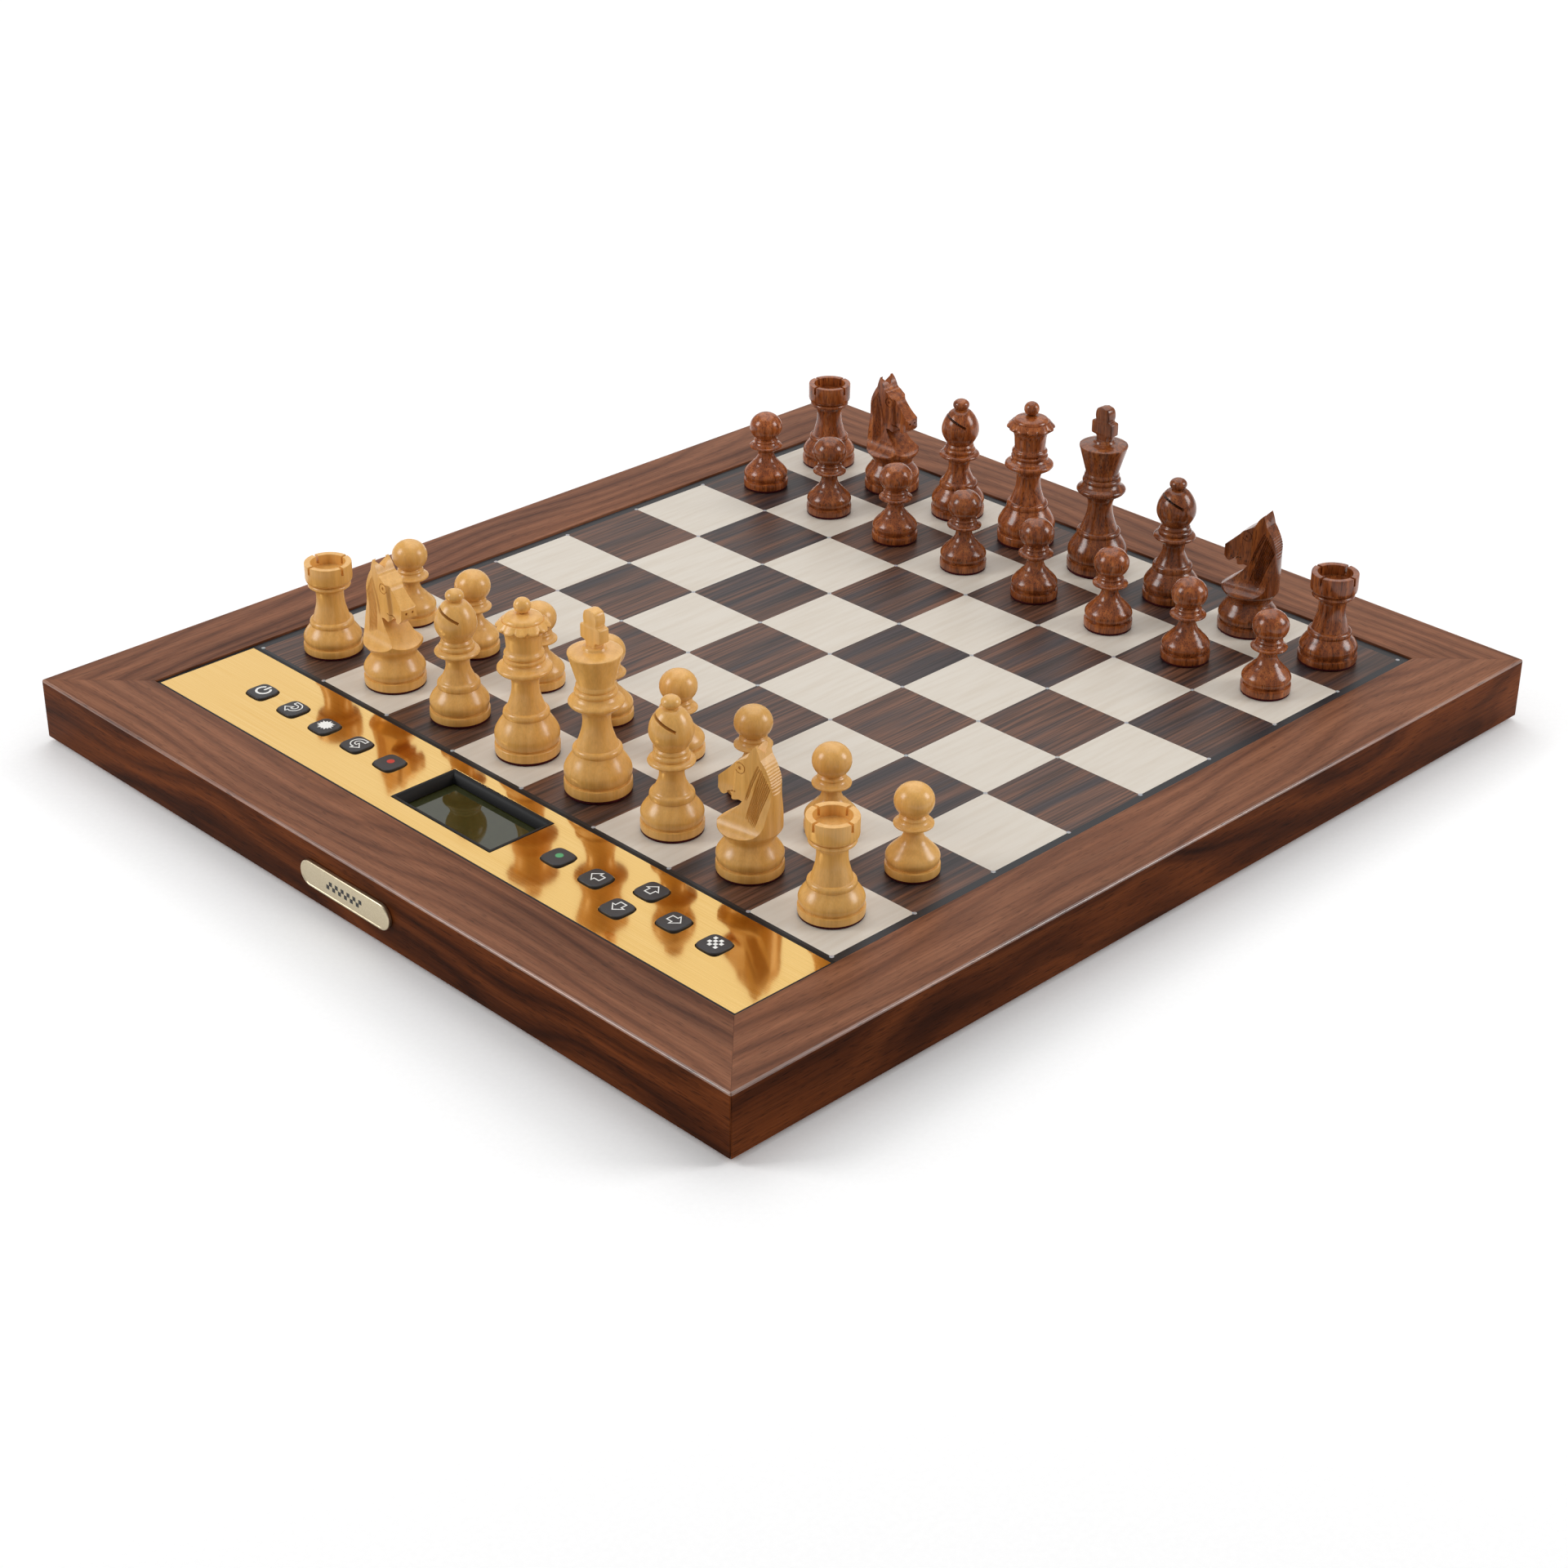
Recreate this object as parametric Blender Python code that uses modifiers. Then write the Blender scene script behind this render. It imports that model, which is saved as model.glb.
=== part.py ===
# Electronic chess computer: a mitred hardwood case round a veneered sensor board, a metal control
# panel with a display and eleven keys, and a full set of thirty-two turned and carved pieces.
# Metres, +Z up. The origin is on the table under the middle of the case, and -Y is the player's side.

import math

import bmesh
import bpy
from mathutils import Matrix

MM = 0.001
GAP = 0.3 * MM

# Playing field
SQUARE = 40.0 * MM
FIELD_CENTRE_Y = 22.3 * MM

# Case
CASE_WIDTH = 391.0 * MM
CASE_DEPTH = 435.2 * MM
CASE_HEIGHT = 25.0 * MM
FOOT_HEIGHT = 1.3 * MM
FOOT_RADIUS = 7.0 * MM
FOOT_INSET = 46.0 * MM
RAIL_WIDTH = 31.4 * MM
RAIL_LIP = 0.9 * MM
LEDGE_WIDTH = 5.0 * MM
BASE_REBATE = 24.0 * MM
BASE_THICKNESS = 3.0 * MM
CASE_BOTTOM = FOOT_HEIGHT + GAP
CASE_TOP = CASE_BOTTOM + CASE_HEIGHT
SURFACE = CASE_TOP - RAIL_LIP

# Playing board and the metal control panel let into its front
BOARD_THICKNESS = 5.0 * MM
BOARD_BOTTOM = SURFACE - BOARD_THICKNESS
PANEL_THICKNESS = 1.4 * MM
PANEL_WIDTH = 326.0 * MM
PANEL_FRONT = -185.0 * MM
PANEL_BACK = -140.2 * MM

# Keys: five to the left of the display, and six to its right with the four arrows in a diamond
KEY_ROW_Y = -161.0 * MM
KEY_PITCH = 20.0 * MM
KEY_FIRST = 48.0 * MM
KEY_ARROW_OFFSET = 8.0 * MM
KEY_SIZE = 10.5 * MM
KEY_FLANGE = 12.6 * MM
KEY_PROUD = 0.9 * MM
KEY_SHOULDER = 0.36 * MM
KEY_BEVEL = 0.8 * MM
KEY_FLANGE_THICKNESS = 1.2 * MM
KEY_TRAVEL = 0.8 * MM
KEY_POINTS = 16
KEY_SQUARENESS = 4.2
OPENING_MARGIN = 2.0 * MM
KEYS = {
    "key_power": (-4, 0),
    "key_back": (-3, 0),
    "key_hint": (-2, 0),
    "key_forward": (-1, 0),
    "key_no": (0, 0),
    "key_yes": (1, 0),
    "key_left": (2, 0),
    "key_up": (3, 1),
    "key_down": (3, -1),
    "key_right": (4, 0),
    "key_new_game": (5, 0),
}

# Display
DISPLAY_WIDTH = 56.4 * MM
DISPLAY_DEPTH = 29.8 * MM
DISPLAY_LIP = 0.2 * MM
DISPLAY_RIM = 1.0 * MM
DISPLAY_CHAMFER = 1.2 * MM
DISPLAY_SHELL = 1.4 * MM
DISPLAY_WALL = 3.0 * MM
DISPLAY_RECESS = 4.3 * MM
DISPLAY_HOUSING_HEIGHT = 9.5 * MM
MODULE_RAISE = 0.6 * MM
MODULE_BOARD = 1.6 * MM
CELL_INSET = 0.6 * MM

# Electronics
SENSOR_BOARD_THICKNESS = 1.6 * MM
SENSOR_BOARD_SIZE = 317.0 * MM
MAIN_BOARD_SIZE = (296.0 * MM, 38.0 * MM, 1.6 * MM)
MAIN_BOARD_BOTTOM = 12.6 * MM
SWITCH_SIZE = 6.0 * MM
POST_RADIUS = 3.0 * MM
POST_X = 140.0 * MM
POST_OFFSET_Y = 14.0 * MM

# Power socket in the back rail
SOCKET_X = -120.0 * MM
SOCKET_Z = CASE_BOTTOM + BASE_THICKNESS + 7.3 * MM
SOCKET_SIZE = (11.0 * MM, 14.0 * MM, 10.0 * MM)
SOCKET_SETBACK = 0.5 * MM
SOCKET_BORE_RADIUS = 3.3 * MM
SOCKET_BORE_DEPTH = 9.0 * MM
SOCKET_PIN_RADIUS = 1.0 * MM

# Name badge on the front rail
BADGE_LENGTH = 51.0 * MM
BADGE_HEIGHT = 10.4 * MM
BADGE_THICKNESS = 1.5 * MM
BADGE_EDGE = 0.45 * MM
BADGE_ARC_STEPS = 8

# Chess set: radius and height pairs in millimetres, from the table upwards
TURN_STEPS = 12
ROOK_RIM = 38.2
ROOK_CUP_DEPTH = 4.2
ROOK_SLOT = (24.0, 0.9, 6.8)
BISHOP_SLOT = (14.0, 24.0, 1.1)
BISHOP_SLOT_CENTRE = (-5.6, -5.6, 44.5)
BISHOP_SLOT_TILT = 35
KNIGHT_THICKNESS = 8.8
KNIGHT_BLANK = 11.6
KNIGHT_HEIGHT = 51.8
CROSS_THICKNESS = 4.4

COLOURS = {
    "walnut": ((0.145, 0.060, 0.032), 0.40, 0.0),
    "veneer": ((0.075, 0.045, 0.038), 0.45, 0.0),
    "gold": ((0.780, 0.500, 0.160), 0.22, 1.0),
    "black_plastic": ((0.012, 0.012, 0.013), 0.40, 0.0),
    "rubber": ((0.030, 0.027, 0.027), 0.60, 0.0),
    "glass": ((0.030, 0.036, 0.014), 0.08, 0.0),
    "fibreboard": ((0.160, 0.110, 0.070), 0.80, 0.0),
    "circuit": ((0.010, 0.090, 0.040), 0.50, 0.0),
    "nickel": ((0.560, 0.510, 0.400), 0.30, 1.0),
    "boxwood": ((0.640, 0.390, 0.130), 0.32, 0.0),
    "sheesham": ((0.170, 0.048, 0.018), 0.25, 0.0),
}


def clear_scene():
    for item in list(bpy.data.objects):
        bpy.data.objects.remove(item)
    for group in list(bpy.data.collections):
        bpy.data.collections.remove(group)


def new_collection(name):
    group = bpy.data.collections.new(name)
    bpy.context.scene.collection.children.link(group)
    return group


def new_material(name, colour, roughness, metallic):
    material = bpy.data.materials.new(name)
    material.use_nodes = True
    shader = material.node_tree.nodes["Principled BSDF"]
    shader.inputs["Base Color"].default_value = (*colour, 1.0)
    shader.inputs["Roughness"].default_value = roughness
    shader.inputs["Metallic"].default_value = metallic
    return material


clear_scene()
PARTS = new_collection("electronic_chess_computer")
CUTTERS = new_collection("cutters")
MATERIALS = {name: new_material(name, *look) for name, look in COLOURS.items()}


def mesh_from(name, bm):
    bmesh.ops.recalc_face_normals(bm, faces=bm.faces)
    mesh = bpy.data.meshes.new(name)
    bm.to_mesh(mesh)
    bm.free()
    return mesh


def add_part(name, mesh, material, location=(0, 0, 0), turn=0.0):
    """A node of the model, with its own or a shared mesh."""
    item = bpy.data.objects.new(name, mesh)
    item.location = location
    item.rotation_euler.z = turn
    PARTS.objects.link(item)
    if not mesh.materials:
        mesh.materials.append(MATERIALS[material])
    item.material_slots[0].link = "OBJECT"
    item.material_slots[0].material = MATERIALS[material]
    return item


def add_cutter(name, mesh, location=(0, 0, 0)):
    item = bpy.data.objects.new(name, mesh)
    item.location = location
    item.hide_render = True
    item.display_type = "WIRE"
    CUTTERS.objects.link(item)
    return item


def combine(item, other, operation):
    step = item.modifiers.new(operation.lower(), "BOOLEAN")
    step.operation = operation
    step.solver = "EXACT"
    step.object = other


def baked(item):
    """The evaluated mesh of a template, whose object and helpers are then removed."""
    bpy.context.view_layer.update()
    graph = bpy.context.evaluated_depsgraph_get()
    mesh = bpy.data.meshes.new_from_object(item.evaluated_get(graph))
    helpers = [step.object for step in item.modifiers if step.type == "BOOLEAN"]
    for used in helpers + [item]:
        bpy.data.objects.remove(used)
    return mesh


def box_mesh(name, size, centres=((0, 0, 0),), turn=None):
    """A box, or several equal ones in one mesh."""
    bm = bmesh.new()
    shape = (turn or Matrix()) @ Matrix.Diagonal((*size, 1.0))
    for centre in centres:
        bmesh.ops.create_cube(bm, size=1.0, matrix=Matrix.Translation(centre) @ shape)
    return mesh_from(name, bm)


def cylinder_mesh(name, radius, bottom, top, places=((0, 0),), sides=16):
    """An upright cylinder, or several equal ones in one mesh."""
    bm = bmesh.new()
    for x, y in places:
        place = Matrix.Translation((x, y, (bottom + top) / 2))
        bmesh.ops.create_cone(
            bm, cap_ends=True, segments=sides, radius1=radius, radius2=radius,
            depth=top - bottom, matrix=place,
        )
    return mesh_from(name, bm)


def plate_mesh(name, outline, thickness):
    """A flat outline in X and Z, in millimetres, as thick as given along Y."""
    curve = bpy.data.curves.new(name, "CURVE")
    curve.dimensions = "2D"
    curve.fill_mode = "BOTH"
    curve.extrude = thickness * MM / 2
    spline = curve.splines.new("POLY")
    spline.points.add(len(outline) - 1)
    for point, (x, z) in zip(spline.points, outline):
        point.co = (x * MM, z * MM, 0.0, 1.0)
    spline.use_cyclic_u = True
    item = bpy.data.objects.new(name, curve)
    CUTTERS.objects.link(item)
    bm = bmesh.new()
    bm.from_mesh(baked(item))
    bmesh.ops.remove_doubles(bm, verts=bm.verts, dist=0.000001)
    bmesh.ops.rotate(bm, verts=bm.verts, matrix=Matrix.Rotation(math.radians(90), 3, "X"))
    return mesh_from(name, bm)


def add_loft(bm, sections, ring=False):
    """Skins equal rings of points: capped at both ends, or closed on itself as a ring."""
    rings = [[bm.verts.new(point) for point in section] for section in sections]
    following = rings[1:] + rings[:1] if ring else rings[1:]
    for lower, upper in zip(rings, following):
        for i in range(len(lower)):
            j = (i + 1) % len(lower)
            bm.faces.new((lower[i], lower[j], upper[j], upper[i]))
    if not ring:
        bm.faces.new(rings[0])
        bm.faces.new(rings[-1])


def rectangle(width, depth, z, centre=(0, 0)):
    x, y = centre
    corners = ((-1, -1), (1, -1), (1, 1), (-1, 1))
    return [(x + i * width / 2, y + j * depth / 2, z) for i, j in corners]


def rounded_square(side, z, centre=(0, 0)):
    """A superellipse, the outline of a soft square key."""
    power = KEY_SQUARENESS
    points = []
    for k in range(KEY_POINTS):
        angle = 2 * math.pi * (k + 0.5) / KEY_POINTS
        cosine, sine = math.cos(angle), math.sin(angle)
        reach = side / 2 / (abs(cosine) ** power + abs(sine) ** power) ** (1 / power)
        points.append((centre[0] + reach * cosine, centre[1] + reach * sine, z))
    return points


def arc(centre_height, radius, rise, start, end, steps):
    """Points of an ellipse centred on the axis, from one latitude in degrees to another."""
    angles = (math.radians(start + (end - start) * k / steps) for k in range(steps + 1))
    return [(radius * math.cos(a), centre_height + rise * math.sin(a)) for a in angles]


def turned_object(name, profile):
    """A turned shape from radius and height pairs in millimetres, from the bottom upwards."""
    points = [(0.0, profile[0][1])] + profile
    if points[-1][0] > 0.001:
        points.append((0.0, profile[-1][1]))
    bm = bmesh.new()
    verts = [bm.verts.new((max(r, 0.0) * MM, 0.0, z * MM)) for r, z in reversed(points)]
    for first, second in zip(verts, verts[1:]):
        bm.edges.new((first, second))
    mesh = bpy.data.meshes.new(name)
    bm.to_mesh(mesh)
    bm.free()
    item = bpy.data.objects.new(name, mesh)
    CUTTERS.objects.link(item)
    screw = item.modifiers.new("turn", "SCREW")
    screw.steps = TURN_STEPS
    screw.render_steps = TURN_STEPS
    screw.use_merge_vertices = True
    screw.merge_threshold = 0.00001
    return item


def smooth(mesh, angle=50):
    mesh.shade_smooth()
    mesh.set_sharp_from_angle(angle=math.radians(angle))
    return mesh


def foot(radius, plinth, bulge, shoulder_radius, shoulder):
    """The base that all six pieces share: a plinth, a bell and a shoulder."""
    return [
        (radius - 0.3, 0.0),
        (radius, plinth),
        (radius * 0.985, bulge),
        (shoulder_radius, shoulder),
    ]


def pawn_mesh():
    profile = foot(9.85, 4.0, 7.0, 5.6, 12.6)
    profile += [(3.6, 15.6), (7.2, 19.4)]
    profile += arc(28.4, 7.2, 6.5, -55, 90, 4)
    return smooth(baked(turned_object("pawn", profile)))


def rook_mesh():
    cup_floor = ROOK_RIM - ROOK_CUP_DEPTH
    profile = foot(11.8, 3.9, 6.6, 8.4, 11.9)
    profile += [(8.2, 13.8), (5.5, 22.5), (5.7, 27.6), (9.3, 30.6), (9.3, ROOK_RIM)]
    profile += [(6.9, ROOK_RIM), (6.6, cup_floor)]
    item = turned_object("rook", profile)
    size = [side * MM for side in ROOK_SLOT]
    for angle in (0, 90):
        turn = Matrix.Rotation(math.radians(angle), 4, "Z")
        slot = box_mesh("rook_slot", size, [(0, 0, ROOK_RIM * MM)], turn)
        combine(item, add_cutter("rook_slot", slot), "DIFFERENCE")
    return smooth(baked(item))


def bishop_mesh():
    profile = foot(11.7, 4.1, 7.5, 8.1, 13.4)
    profile += [(7.8, 15.9), (4.6, 21.5), (4.8, 25.4), (8.9, 28.0), (6.2, 31.0), (5.6, 33.0)]
    profile += arc(39.6, 8.2, 9.4, -20, 62, 3)
    profile += arc(50.7, 3.6, 2.6, -30, 90, 3)
    item = turned_object("bishop", profile)
    tilt = Matrix.Rotation(math.radians(BISHOP_SLOT_TILT), 4, "Y")
    turn = Matrix.Rotation(math.radians(45), 4, "Z") @ tilt
    size = [side * MM for side in BISHOP_SLOT]
    centre = [value * MM for value in BISHOP_SLOT_CENTRE]
    slot = box_mesh("bishop_slot", size, [centre], turn)
    combine(item, add_cutter("bishop_slot", slot), "DIFFERENCE")
    return smooth(baked(item))


def queen_mesh():
    profile = foot(12.5, 4.7, 8.6, 8.6, 16.0)
    profile += [(8.2, 18.7), (5.1, 28.0), (5.3, 32.4), (10.4, 35.6), (7.4, 40.6), (6.7, 43.8)]
    profile += [(6.9, 47.0), (10.8, 53.4), (8.6, 54.6), (7.8, 55.6), (3.0, 58.2)]
    profile += arc(60.4, 3.3, 3.2, -25, 90, 3)
    return smooth(baked(turned_object("queen", profile)))


def cross_mesh(bottom, arm_bottom, arm_top, top):
    """The king's finial, a flat cross with a rounded head, across the board."""
    half = [(2.3, bottom), (2.6, arm_bottom - 0.6), (5.2, arm_bottom)]
    half += [(5.2, arm_top), (3.5, arm_top + 0.2), (3.3, top - 1.6), (1.7, top)]
    outline = half + [(-x, z) for x, z in reversed(half)]
    return plate_mesh("cross", outline, CROSS_THICKNESS)


def king_mesh():
    profile = foot(12.75, 5.2, 8.9, 9.0, 16.4)
    profile += [(8.7, 18.7), (5.3, 28.8), (5.5, 33.2), (10.5, 36.4), (7.6, 41.2), (7.0, 44.0)]
    profile += [(10.7, 55.6), (4.4, 57.0), (4.0, 58.4)]
    item = turned_object("king", profile)
    cross = add_cutter("king_cross", cross_mesh(56.5, 60.6, 66.2, 73.0))
    combine(item, cross, "UNION")
    return smooth(baked(item))


def knight_mesh():
    """A turned base and skirt under a flat carved head that faces +X."""
    profile = foot(12.2, 4.3, 7.4, 9.3, 12.2)
    profile += [(8.8, 13.8), (10.7, 16.4), (KNIGHT_BLANK, 18.0)]
    item = turned_object("knight", profile)
    chest = [(10.2, 16.8), (KNIGHT_BLANK, 19.0), (7.9, 21.0), (3.3, 25.1), (0.0, 29.2)]
    muzzle = [(4.8, 29.3), (6.6, 30.8), (8.4, 29.2), (10.4, 30.4), (11.5, 32.4), (11.5, 35.0)]
    brow = [(8.4, 38.0), (5.0, 41.4), (2.6, 43.8), (-2.0, 47.0)]
    ear = [(-5.0, KNIGHT_HEIGHT), (-6.8, 46.8)]
    crest = [(-9.2, 43.2), (-11.0, 40.2), (-KNIGHT_BLANK, 36.0), (-KNIGHT_BLANK, 19.0)]
    outline = chest + muzzle + brow + ear + crest + [(-10.2, 16.8)]
    head = plate_mesh("knight_head", outline, KNIGHT_THICKNESS)
    combine(item, add_cutter("knight_head", head), "UNION")
    return smooth(baked(item), 30)


def make_set():
    """Thirty-two pieces in the opening position; the knights face the middle files."""
    meshes = {
        "pawn": pawn_mesh(),
        "rook": rook_mesh(),
        "knight": knight_mesh(),
        "bishop": bishop_mesh(),
        "queen": queen_mesh(),
        "king": king_mesh(),
    }
    back_rank = ("rook", "knight", "bishop", "queen", "king", "bishop", "knight", "rook")
    armies = (("light", "boxwood", 0, 1), ("dark", "sheesham", 7, 6))
    for side, wood, home, front in armies:
        for file in range(8):
            letter = "abcdefgh"[file]
            kind = back_rank[file]
            name = f"{side}_{kind}" if kind in ("queen", "king") else f"{side}_{kind}_{letter}"
            turn = math.pi if kind == "knight" and file > 3 else 0.0
            add_part(name, meshes[kind], wood, on_square(file, home), turn)
            pawn = f"{side}_pawn_{letter}"
            add_part(pawn, meshes["pawn"], wood, on_square(file, front))


def on_square(file, rank):
    """The middle of a square, a gap above the board."""
    x = (file - 3.5) * SQUARE
    y = FIELD_CENTRE_Y + (rank - 3.5) * SQUARE
    return (x, y, SURFACE + GAP)


def rail_mesh(name, length, depth):
    """A rail along +X with mitred ends; depth is how far its outer face is from the middle."""
    ledge_top = BOARD_BOTTOM - GAP
    base_top = CASE_BOTTOM + BASE_THICKNESS + GAP
    inner = RAIL_WIDTH + LEDGE_WIDTH
    section = [
        (0.0, CASE_BOTTOM),
        (BASE_REBATE, CASE_BOTTOM),
        (BASE_REBATE, base_top),
        (inner, base_top),
        (inner, ledge_top),
        (RAIL_WIDTH, ledge_top),
        (RAIL_WIDTH, CASE_TOP),
        (0.0, CASE_TOP),
    ]
    clearance = GAP / math.sqrt(2)
    bm = bmesh.new()
    ends = [
        [(end * (length / 2 - inset - clearance), inset - depth, z) for inset, z in section]
        for end in (-1, 1)
    ]
    add_loft(bm, ends)
    return mesh_from(name, bm)


def make_case():
    front = rail_mesh("front_rail", CASE_WIDTH, CASE_DEPTH / 2)
    side = rail_mesh("side_rail", CASE_DEPTH, CASE_WIDTH / 2)
    add_part("front_rail", front, "walnut")
    add_part("right_rail", side, "walnut", turn=math.radians(90))
    add_part("left_rail", side, "walnut", turn=math.radians(-90))

    back = rail_mesh("back_rail", CASE_WIDTH, CASE_DEPTH / 2)
    back.transform(Matrix.Rotation(math.pi, 4, "Z"))
    item = add_part("back_rail", back, "walnut")
    width, depth, height = SOCKET_SIZE
    through = 2 * (RAIL_WIDTH + LEDGE_WIDTH + MM)
    size = (width + 2 * GAP, through, height + 2 * GAP)
    hole = box_mesh("socket_hole", size, [(SOCKET_X, CASE_DEPTH / 2, SOCKET_Z)])
    combine(item, add_cutter("socket_hole", hole), "DIFFERENCE")

    plate_width = CASE_WIDTH - 2 * (BASE_REBATE + GAP)
    plate_depth = CASE_DEPTH - 2 * (BASE_REBATE + GAP)
    middle = CASE_BOTTOM + BASE_THICKNESS / 2
    plate = box_mesh("base_plate", (plate_width, plate_depth, BASE_THICKNESS), [(0, 0, middle)])
    item = add_part("base_plate", plate, "fibreboard")
    places = [
        (x, KEY_ROW_Y + y) for x in (-POST_X, POST_X) for y in (-POST_OFFSET_Y, POST_OFFSET_Y)
    ]
    top = MAIN_BOARD_BOTTOM - GAP
    posts = cylinder_mesh("posts", POST_RADIUS, middle, top, places, sides=10)
    combine(item, add_cutter("posts", posts), "UNION")

    mesh = smooth(cylinder_mesh("foot", FOOT_RADIUS, 0.0, FOOT_HEIGHT, sides=20))
    for name, x, y in (("front_left", -1, -1), ("front_right", 1, -1),
                       ("back_left", -1, 1), ("back_right", 1, 1)):
        place = (x * (CASE_WIDTH / 2 - FOOT_INSET), y * (CASE_DEPTH / 2 - FOOT_INSET), 0)
        add_part(f"foot_{name}", mesh, "rubber", place)


def key_place(column, row):
    """Columns up to 0 are left of the display and the others are right of it."""
    x = -KEY_FIRST + column * KEY_PITCH if column < 1 else KEY_FIRST + (column - 1) * KEY_PITCH
    return (x, KEY_ROW_Y + row * KEY_ARROW_OFFSET)


def make_openings():
    """One cutter for the key holes and the display window."""
    bottom = BOARD_BOTTOM - OPENING_MARGIN
    top = SURFACE + OPENING_MARGIN
    bm = bmesh.new()
    for column, row in KEYS.values():
        place = key_place(column, row)
        sections = [rounded_square(KEY_SIZE + 2 * GAP, z, place) for z in (bottom, top)]
        add_loft(bm, sections)
    width, depth = DISPLAY_WIDTH + 2 * GAP, DISPLAY_DEPTH + 2 * GAP
    add_loft(bm, [rectangle(width, depth, z, (0, KEY_ROW_Y)) for z in (bottom, top)])
    return add_cutter("openings", mesh_from("openings", bm))


def make_board_and_panel():
    openings = make_openings()
    half_width = CASE_WIDTH / 2 - RAIL_WIDTH - GAP
    half_depth = CASE_DEPTH / 2 - RAIL_WIDTH - GAP
    step = PANEL_BACK + GAP
    low = SURFACE - PANEL_THICKNESS - GAP
    section = [
        (-half_depth, BOARD_BOTTOM),
        (half_depth, BOARD_BOTTOM),
        (half_depth, SURFACE),
        (step, SURFACE),
        (step, low),
        (-half_depth, low),
    ]
    bm = bmesh.new()
    add_loft(bm, [[(x, y, z) for y, z in section] for x in (-half_width, half_width)])
    board = add_part("playing_board", mesh_from("playing_board", bm), "veneer")
    combine(board, openings, "DIFFERENCE")

    size = (PANEL_WIDTH, PANEL_BACK - PANEL_FRONT, PANEL_THICKNESS)
    centre = (0, (PANEL_BACK + PANEL_FRONT) / 2, SURFACE - PANEL_THICKNESS / 2)
    panel = add_part("control_panel", box_mesh("control_panel", size, [centre]), "gold")
    combine(panel, openings, "DIFFERENCE")


def make_keys():
    """Rubber keys with a flange under the board; each one's origin is on its top."""
    flange_top = BOARD_BOTTOM - GAP - SURFACE
    flange_bottom = flange_top - KEY_FLANGE_THICKNESS
    levels = [
        (KEY_FLANGE, flange_bottom),
        (KEY_FLANGE, flange_top),
        (KEY_SIZE, flange_top),
        (KEY_SIZE, KEY_SHOULDER),
        (KEY_SIZE - 2 * KEY_BEVEL, KEY_PROUD),
    ]
    bm = bmesh.new()
    add_loft(bm, [rounded_square(side, z) for side, z in levels])
    mesh = smooth(mesh_from("key", bm))
    for name, (column, row) in KEYS.items():
        add_part(name, mesh, "rubber", (*key_place(column, row), SURFACE))


def make_display():
    """A black housing with a sloped window, and the display module up inside it."""
    top = SURFACE + DISPLAY_LIP
    bottom = top - DISPLAY_HOUSING_HEIGHT
    glass_top = top - DISPLAY_RECESS
    ledge = glass_top + GAP
    centre = (0, KEY_ROW_Y)
    levels = [
        (0.0, bottom),
        (0.0, top),
        (DISPLAY_RIM, top),
        (DISPLAY_RIM + DISPLAY_CHAMFER, top - DISPLAY_CHAMFER),
        (DISPLAY_WALL, ledge),
        (DISPLAY_SHELL, ledge),
        (DISPLAY_SHELL, bottom),
    ]
    bm = bmesh.new()
    sections = [
        rectangle(DISPLAY_WIDTH - 2 * inset, DISPLAY_DEPTH - 2 * inset, z, centre)
        for inset, z in levels
    ]
    add_loft(bm, sections, ring=True)
    add_part("display_housing", mesh_from("display_housing", bm), "black_plastic")

    pocket = DISPLAY_SHELL + GAP
    module_bottom = bottom + MODULE_RAISE
    board_top = module_bottom + MODULE_BOARD
    sections = [
        rectangle(DISPLAY_WIDTH - 2 * inset, DISPLAY_DEPTH - 2 * inset, z, centre)
        for inset, z in (
            (pocket, module_bottom),
            (pocket, board_top),
            (pocket + CELL_INSET, board_top),
            (pocket + CELL_INSET, glass_top),
        )
    ]
    bm = bmesh.new()
    add_loft(bm, sections)
    add_part("display_module", mesh_from("display_module", bm), "glass")


def make_electronics():
    top = BOARD_BOTTOM - GAP
    size = (SENSOR_BOARD_SIZE, SENSOR_BOARD_SIZE, SENSOR_BOARD_THICKNESS)
    centre = (0, FIELD_CENTRE_Y, top - SENSOR_BOARD_THICKNESS / 2)
    add_part("sensor_board", box_mesh("sensor_board", size, [centre]), "circuit")

    thickness = MAIN_BOARD_SIZE[2]
    middle = MAIN_BOARD_BOTTOM + thickness / 2
    board = box_mesh("main_board", MAIN_BOARD_SIZE, [(0, KEY_ROW_Y, middle)])
    item = add_part("main_board", board, "circuit")
    pressed = BOARD_BOTTOM - GAP - KEY_FLANGE_THICKNESS - KEY_TRAVEL
    switch_top = pressed - GAP
    height = switch_top - middle
    centres = [(*key_place(*key), middle + height / 2) for key in KEYS.values()]
    switches = box_mesh("switches", (SWITCH_SIZE, SWITCH_SIZE, height), centres)
    combine(item, add_cutter("switches", switches), "UNION")


def make_power_socket():
    """A low-voltage barrel socket, flush in the back rail."""
    back = CASE_DEPTH / 2 - SOCKET_SETBACK
    centre = (SOCKET_X, back - SOCKET_SIZE[1] / 2, SOCKET_Z)
    body = box_mesh("power_socket", SOCKET_SIZE, [centre])
    item = add_part("power_socket", body, "black_plastic")
    along_y = Matrix.Rotation(math.radians(90), 4, "X")

    def rod(name, radius, start, end):
        mesh = cylinder_mesh(name, radius, 0, end - start)
        mesh.transform(Matrix.Translation((SOCKET_X, end, SOCKET_Z)) @ along_y)
        return add_cutter(name, mesh)

    floor = back - SOCKET_BORE_DEPTH
    combine(item, rod("socket_bore", SOCKET_BORE_RADIUS, floor, back + MM), "DIFFERENCE")
    combine(item, rod("socket_pin", SOCKET_PIN_RADIUS, floor - MM, back - MM), "UNION")


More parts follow.
